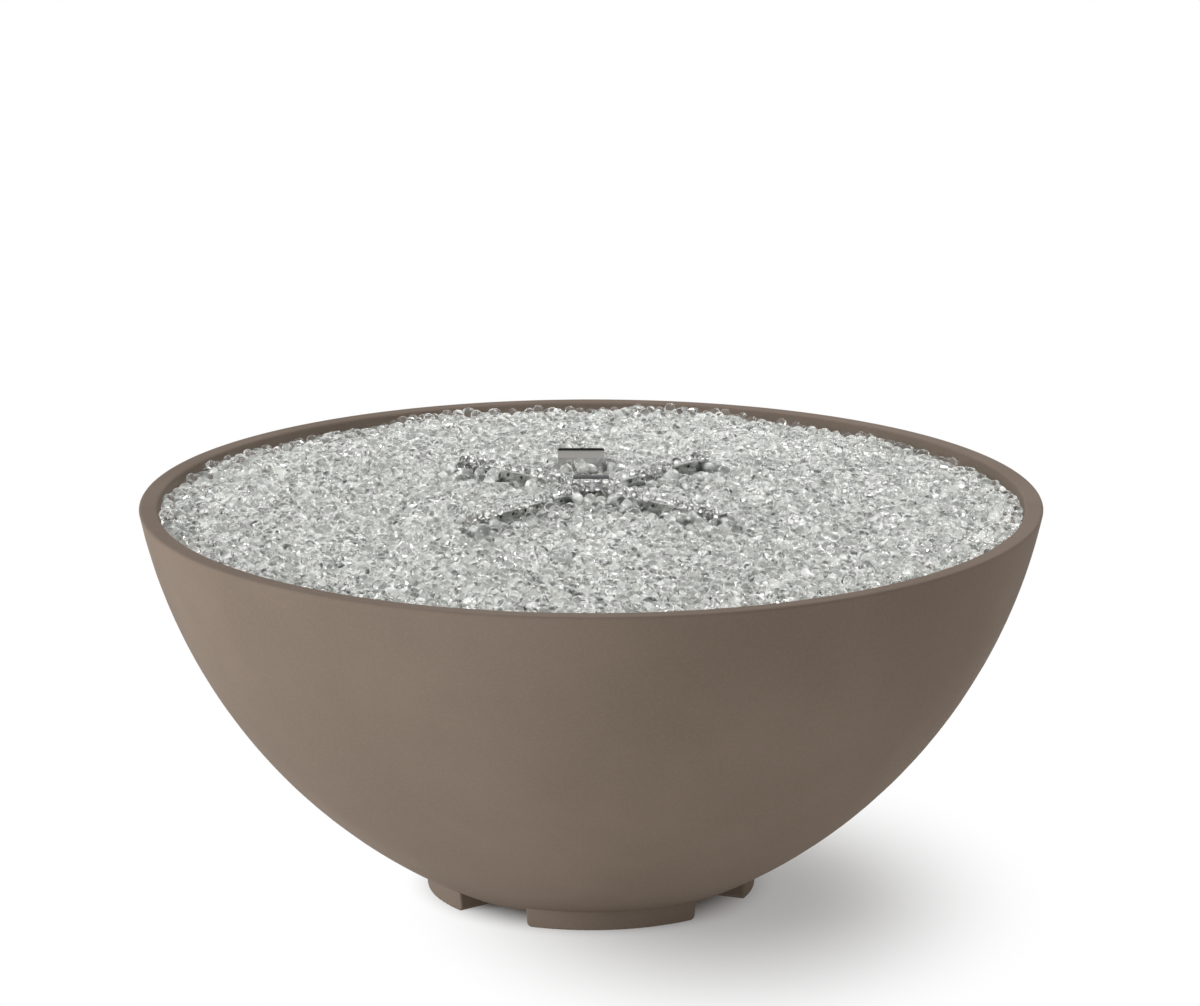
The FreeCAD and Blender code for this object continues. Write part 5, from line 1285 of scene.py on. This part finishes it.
@dataclass
class Valve(SubAssembly):
    """The gas valve with its knob."""

    panel: ControlPanel
    knob_top: float = 26.6 * MM
    push: float = 4 * MM
    groove: Spot = (1.9 * MM, 4.0 * MM, 15.4 * MM)      # width, start and end
    paint: Pair = (0.95 * MM, 0.35 * MM)                # foot and top, under the knob's top
    nose: Pair = (0.7, 0.3)             # corner of the groove's blunt nose, of half its width

    finishes: ClassVar[dict[str, Finish]] = {
        "control_knob": PHENOLIC, "valve_stem": BRASS, "valve_bonnet": CAST_ZINC,
        "bonnet_screws": SCREW_STEEL, "valve_body": BRASS, "valve_rotor": BRASS,
        "valve_spring": SPRING_STEEL, "valve_push_rod": SCREW_STEEL, "magnet_unit": BRASS}

    def build(self) -> None:
        """Fill the knob's groove with paint, and coil the return spring."""
        self.coils("valve_spring", "knob_push", self.push, self.panel.out)
        width, start, end = self.groove
        half = width / 2
        aside, ahead = (half * share for share in self.nose)
        x = self.panel.knob_x
        outline = [(x - half, start + half), (x - aside, start + ahead), (x, start),
                   (x + aside, start + ahead), (x + half, start + half), (x + half, end),
                   (x - half, end)]
        low, high = (self.knob_top - depth for depth in self.paint)
        mesh_piece("knob_pointer", *self.panel.prism(outline, low, high), WHITE_PAINT,
                   "knob_plastic", "knob_body", smooth=False)


@dataclass
class Igniter(SubAssembly):
    """The battery spark igniter with its push button."""

    panel: ControlPanel
    push: float = 3.5 * MM

    finishes: ClassVar[dict[str, Finish]] = {
        "igniter_body": MATT_PLASTIC, "igniter_nut": MATT_PLASTIC, "igniter_button": GLOSS_PLASTIC,
        "igniter_spring": SPRING_STEEL, "igniter_battery": CELL_CAN, "spark_module": MATT_PLASTIC}

    def build(self) -> None:
        """Coil the button's return spring."""
        self.coils("igniter_spring", "igniter_push", self.push, self.panel.out)


@dataclass
class Inlet(SubAssembly):
    """The gas inlet over the hole in the floor."""

    finishes: ClassVar[dict[str, Finish]] = {
        "inlet_bracket": ROLLED_STEEL, "bracket_screws": SCREW_STEEL, "inlet_fitting": BRASS,
        "inlet_locknut": BRASS}


@dataclass
class GasLines(SubAssembly):
    """The hoses, tubes and wires inside the bowl."""

    finishes: ClassVar[dict[str, Finish]] = {
        "hose_nuts": BRASS, "supply_hose": HOSE_RUBBER, "burner_hose": HOSE_RUBBER,
        "pilot_tube": COPPER, "thermocouple_lead": COPPER, "ignition_wire": SILICONE}


@dataclass
class Lamp:
    """One soft studio lamp that points at the bowl."""

    name: str
    place: Spot
    size: float
    level: float    # how bright it makes a surface that faces it, where 1 shows a colour as written
    target: Spot = (0.0, 0.0, 0.3)
    colour: str = "#FFFFFF"

    def light(self) -> None:
        """Hang the lamp."""
        away = Vector(self.place) - Vector(self.target)
        data = bpy.data.lights.new(self.name, "AREA")
        data.shape = "SQUARE"
        data.size = self.size
        data.energy = self.level * math.pi ** 2 * away.length_squared
        data.color = linear(self.colour)[:3]
        lamp = stand(self.name, data)
        lamp.location = self.place
        lamp.rotation_euler = away.to_track_quat("Z", "Y").to_euler()


@dataclass
class Studio:
    """Camera, lamps and pale floor."""

    focal_px: float = 6329.4            # of a frame 1200 pixels wide
    middle_px: float = 591.1            # where the view's axis meets that frame
    camera_place: Spot = (0.0, -7.2612, 2.2732)
    pitch: float = 0.24378              # below the horizon
    sensor: float = 36.0
    far_clip: float = 200.0
    sky_left: float = 0.60              # how much the surroundings light a surface, from the left
    sky_right: float = 0.24             # and from the right
    sky_turn: Pair = (-0.8, 0.8)        # from where to where it changes, left to right
    sky_tone: str = "#FFFCF9"
    floor_radius: float = 40.0
    floor_sides: int = 96
    floor_drop: float = 0.2 * MM        # so that the feet don't share its plane
    floor_tone: str = "#F0F2F5"
    fibre_mm: float = 4.0
    fibre_height: float = 0.05 * MM
    fibre_strength: float = 0.3
    floor_bounce: str = "#A8A29C"
    bounce_tone: str = "#FFFBF6"
    bounce_least: float = 0.08          # how much the floor lights the underside, in the middle
    bounce_lift: float = 0.50           # and farther out
    shade_middle: Spot = (0.16, -0.06, 0.0)
    shade_slow: Spot = (1.0, 0.7, 1.0)    # how fast the shade fades each way
    white_from: float = 0.08            # where the floor begins to fade to white
    white_to: float = 0.40
    open_share: float = 0.30            # how white the floor is at least, out from under the base
    bounce_reach: Pair = (0.05, 0.40)
    base_reach: Pair = (0.14, 0.225)
    lamps: tuple[Lamp, ...] = (Lamp("left_softbox", (-3.5, -1.6, 0.85), 1.7, 0.46),
                               Lamp("top_softbox", (1.1, 0.8, 3.1), 1.3, 0.32),
                               Lamp("back_softbox", (0.5, 3.8, 2.0), 2.2, 0.08))

    def camera(self) -> None:
        """Stand the camera where the photograph was taken."""
        data = bpy.data.cameras.new("camera")
        data.sensor_fit = "HORIZONTAL"
        data.sensor_width = self.sensor
        data.lens = self.focal_px * self.sensor / PHOTO_WIDTH
        data.shift_x = 0.5 - self.middle_px / PHOTO_WIDTH
        data.clip_end = self.far_clip
        camera = stand("camera", data)
        camera.location = self.camera_place
        camera.rotation_euler = (math.pi / 2 - self.pitch, 0.0, 0.0)
        bpy.context.scene.camera = camera

    def seen(self, tree: Tree) -> Source:
        """Tell the rays that see the background, straight or through gloss and glass.

        Args:
            tree: the node tree of the floor or the world.

        Returns:
            The socket of 1 for them and 0 for others.
        """
        rays = add_node(tree, "LightPath").outputs
        seen = rays["Is Camera Ray"]
        for kind in ("Is Glossy Ray", "Is Transmission Ray"):
            seen = add_node(tree, "Math", {"operation": "MAXIMUM"}, seen, rays[kind])
        return seen

    def sky(self) -> None:
        """Surround the bowl with white that lights it softly."""
        world = bpy.data.worlds.new("studio")
        bpy.context.scene.world = world
        world.use_nodes = True
        tree = world.node_tree
        tree.nodes.clear()
        way = add_node(tree, "TexCoord").outputs["Generated"]
        across = add_node(tree, "SeparateXYZ", {}, way)
        level = add_node(tree, "MapRange", SOFT, across, *self.sky_turn, self.sky_left,
                         self.sky_right)
        soft = add_node(tree, "Background", {}, linear(self.sky_tone), level)
        white = add_node(tree, "Background", {}, linear("#FFFFFF"), 1.0)
        both = add_node(tree, "MixShader", {}, self.seen(tree), soft, white)
        add_node(tree, "OutputWorld", {}, both)

    def floor_material(self) -> bpy.types.Material:
        """Make seamless white paper that keeps the shadow and fades to white.

        Returns:
            The floor's material.
        """
        made = bpy.data.materials.new("seamless_white_paper")
        made.use_nodes = True
        tree = made.node_tree
        tree.nodes.clear()
        place = add_node(tree, "TexCoord").outputs["Object"]
        fibre = add_node(tree, "TexNoise", {"Scale": per_metre(self.fibre_mm), "Vector": place})
        bump = add_node(tree, "Bump", {
            "Strength": self.fibre_strength, "Distance": self.fibre_height, "Height": fibre})
        paper = add_node(tree, "BsdfDiffuse", {"Color": linear(self.floor_tone), "Normal": bump})
        white = add_node(tree, "Emission", {}, linear("#FFFFFF"), 1.0)
        shade = place
        for operation, amount in (("SUBTRACT", self.shade_middle), ("MULTIPLY", self.shade_slow)):
            shade = add_node(tree, "VectorMath", {"operation": operation}, shade, amount)
        far, out = (add_node(tree, "VectorMath", {"operation": "LENGTH"}, way).outputs["Value"]
                    for way in (shade, place))
        fading = add_node(tree, "MapRange", SOFT, far, self.white_from, self.white_to,
                          self.open_share, 1.0)
        beyond = add_node(tree, "MapRange", SOFT, out, *self.base_reach)
        share = add_node(tree, "Math", {"operation": "MULTIPLY"}, fading, beyond)
        shown = add_node(tree, "MixShader", {}, share, paper, white)
        bounce = add_node(tree, "BsdfDiffuse", {"Color": linear(self.floor_bounce)})
        rising = add_node(tree, "MapRange", SOFT, out, *self.bounce_reach, self.bounce_least,
                          self.bounce_lift)
        glow = add_node(tree, "Emission", {}, linear(self.bounce_tone), rising)
        sent = add_node(tree, "AddShader", {}, bounce, glow)
        both = add_node(tree, "MixShader", {}, self.seen(tree), sent, shown)
        add_node(tree, "OutputMaterial", {}, both)
        return made

    def floor(self) -> None:
        """Lay the floor."""
        made = bmesh.new()
        bmesh.ops.create_circle(made, cap_ends=True, segments=self.floor_sides,
                                radius=self.floor_radius)
        mesh = bpy.data.meshes.new("floor")
        made.to_mesh(mesh)
        made.free()
        mesh.materials.append(self.floor_material())
        floor = stand("floor", mesh)
        floor.location = (0, 0, -self.floor_drop)

    def build(self) -> None:
        """Set up the studio."""
        bpy.context.scene.view_settings.view_transform = "Standard"
        self.camera()
        self.sky()
        self.floor()
        for lamp in self.lamps:
            lamp.light()


def main() -> None:
    """Build and dress the fire bowl, sub-assembly by sub-assembly."""
    logging.basicConfig(level=logging.INFO, format="%(name)s %(message)s")
    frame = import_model()
    Studio().build()
    panel = ControlPanel(frame)
    groups = [Bowl(frame), GlassBed(frame), Tray(frame), Burner(frame), Pilot(frame),
              GasTrain(frame), panel, Valve(frame, panel), Igniter(frame, panel), Inlet(frame),
              GasLines(frame)]
    for group in groups:
        group.dress()
        group.build()
        log.info("built %s", type(group).__name__)


if __name__ == "__main__":
    main()
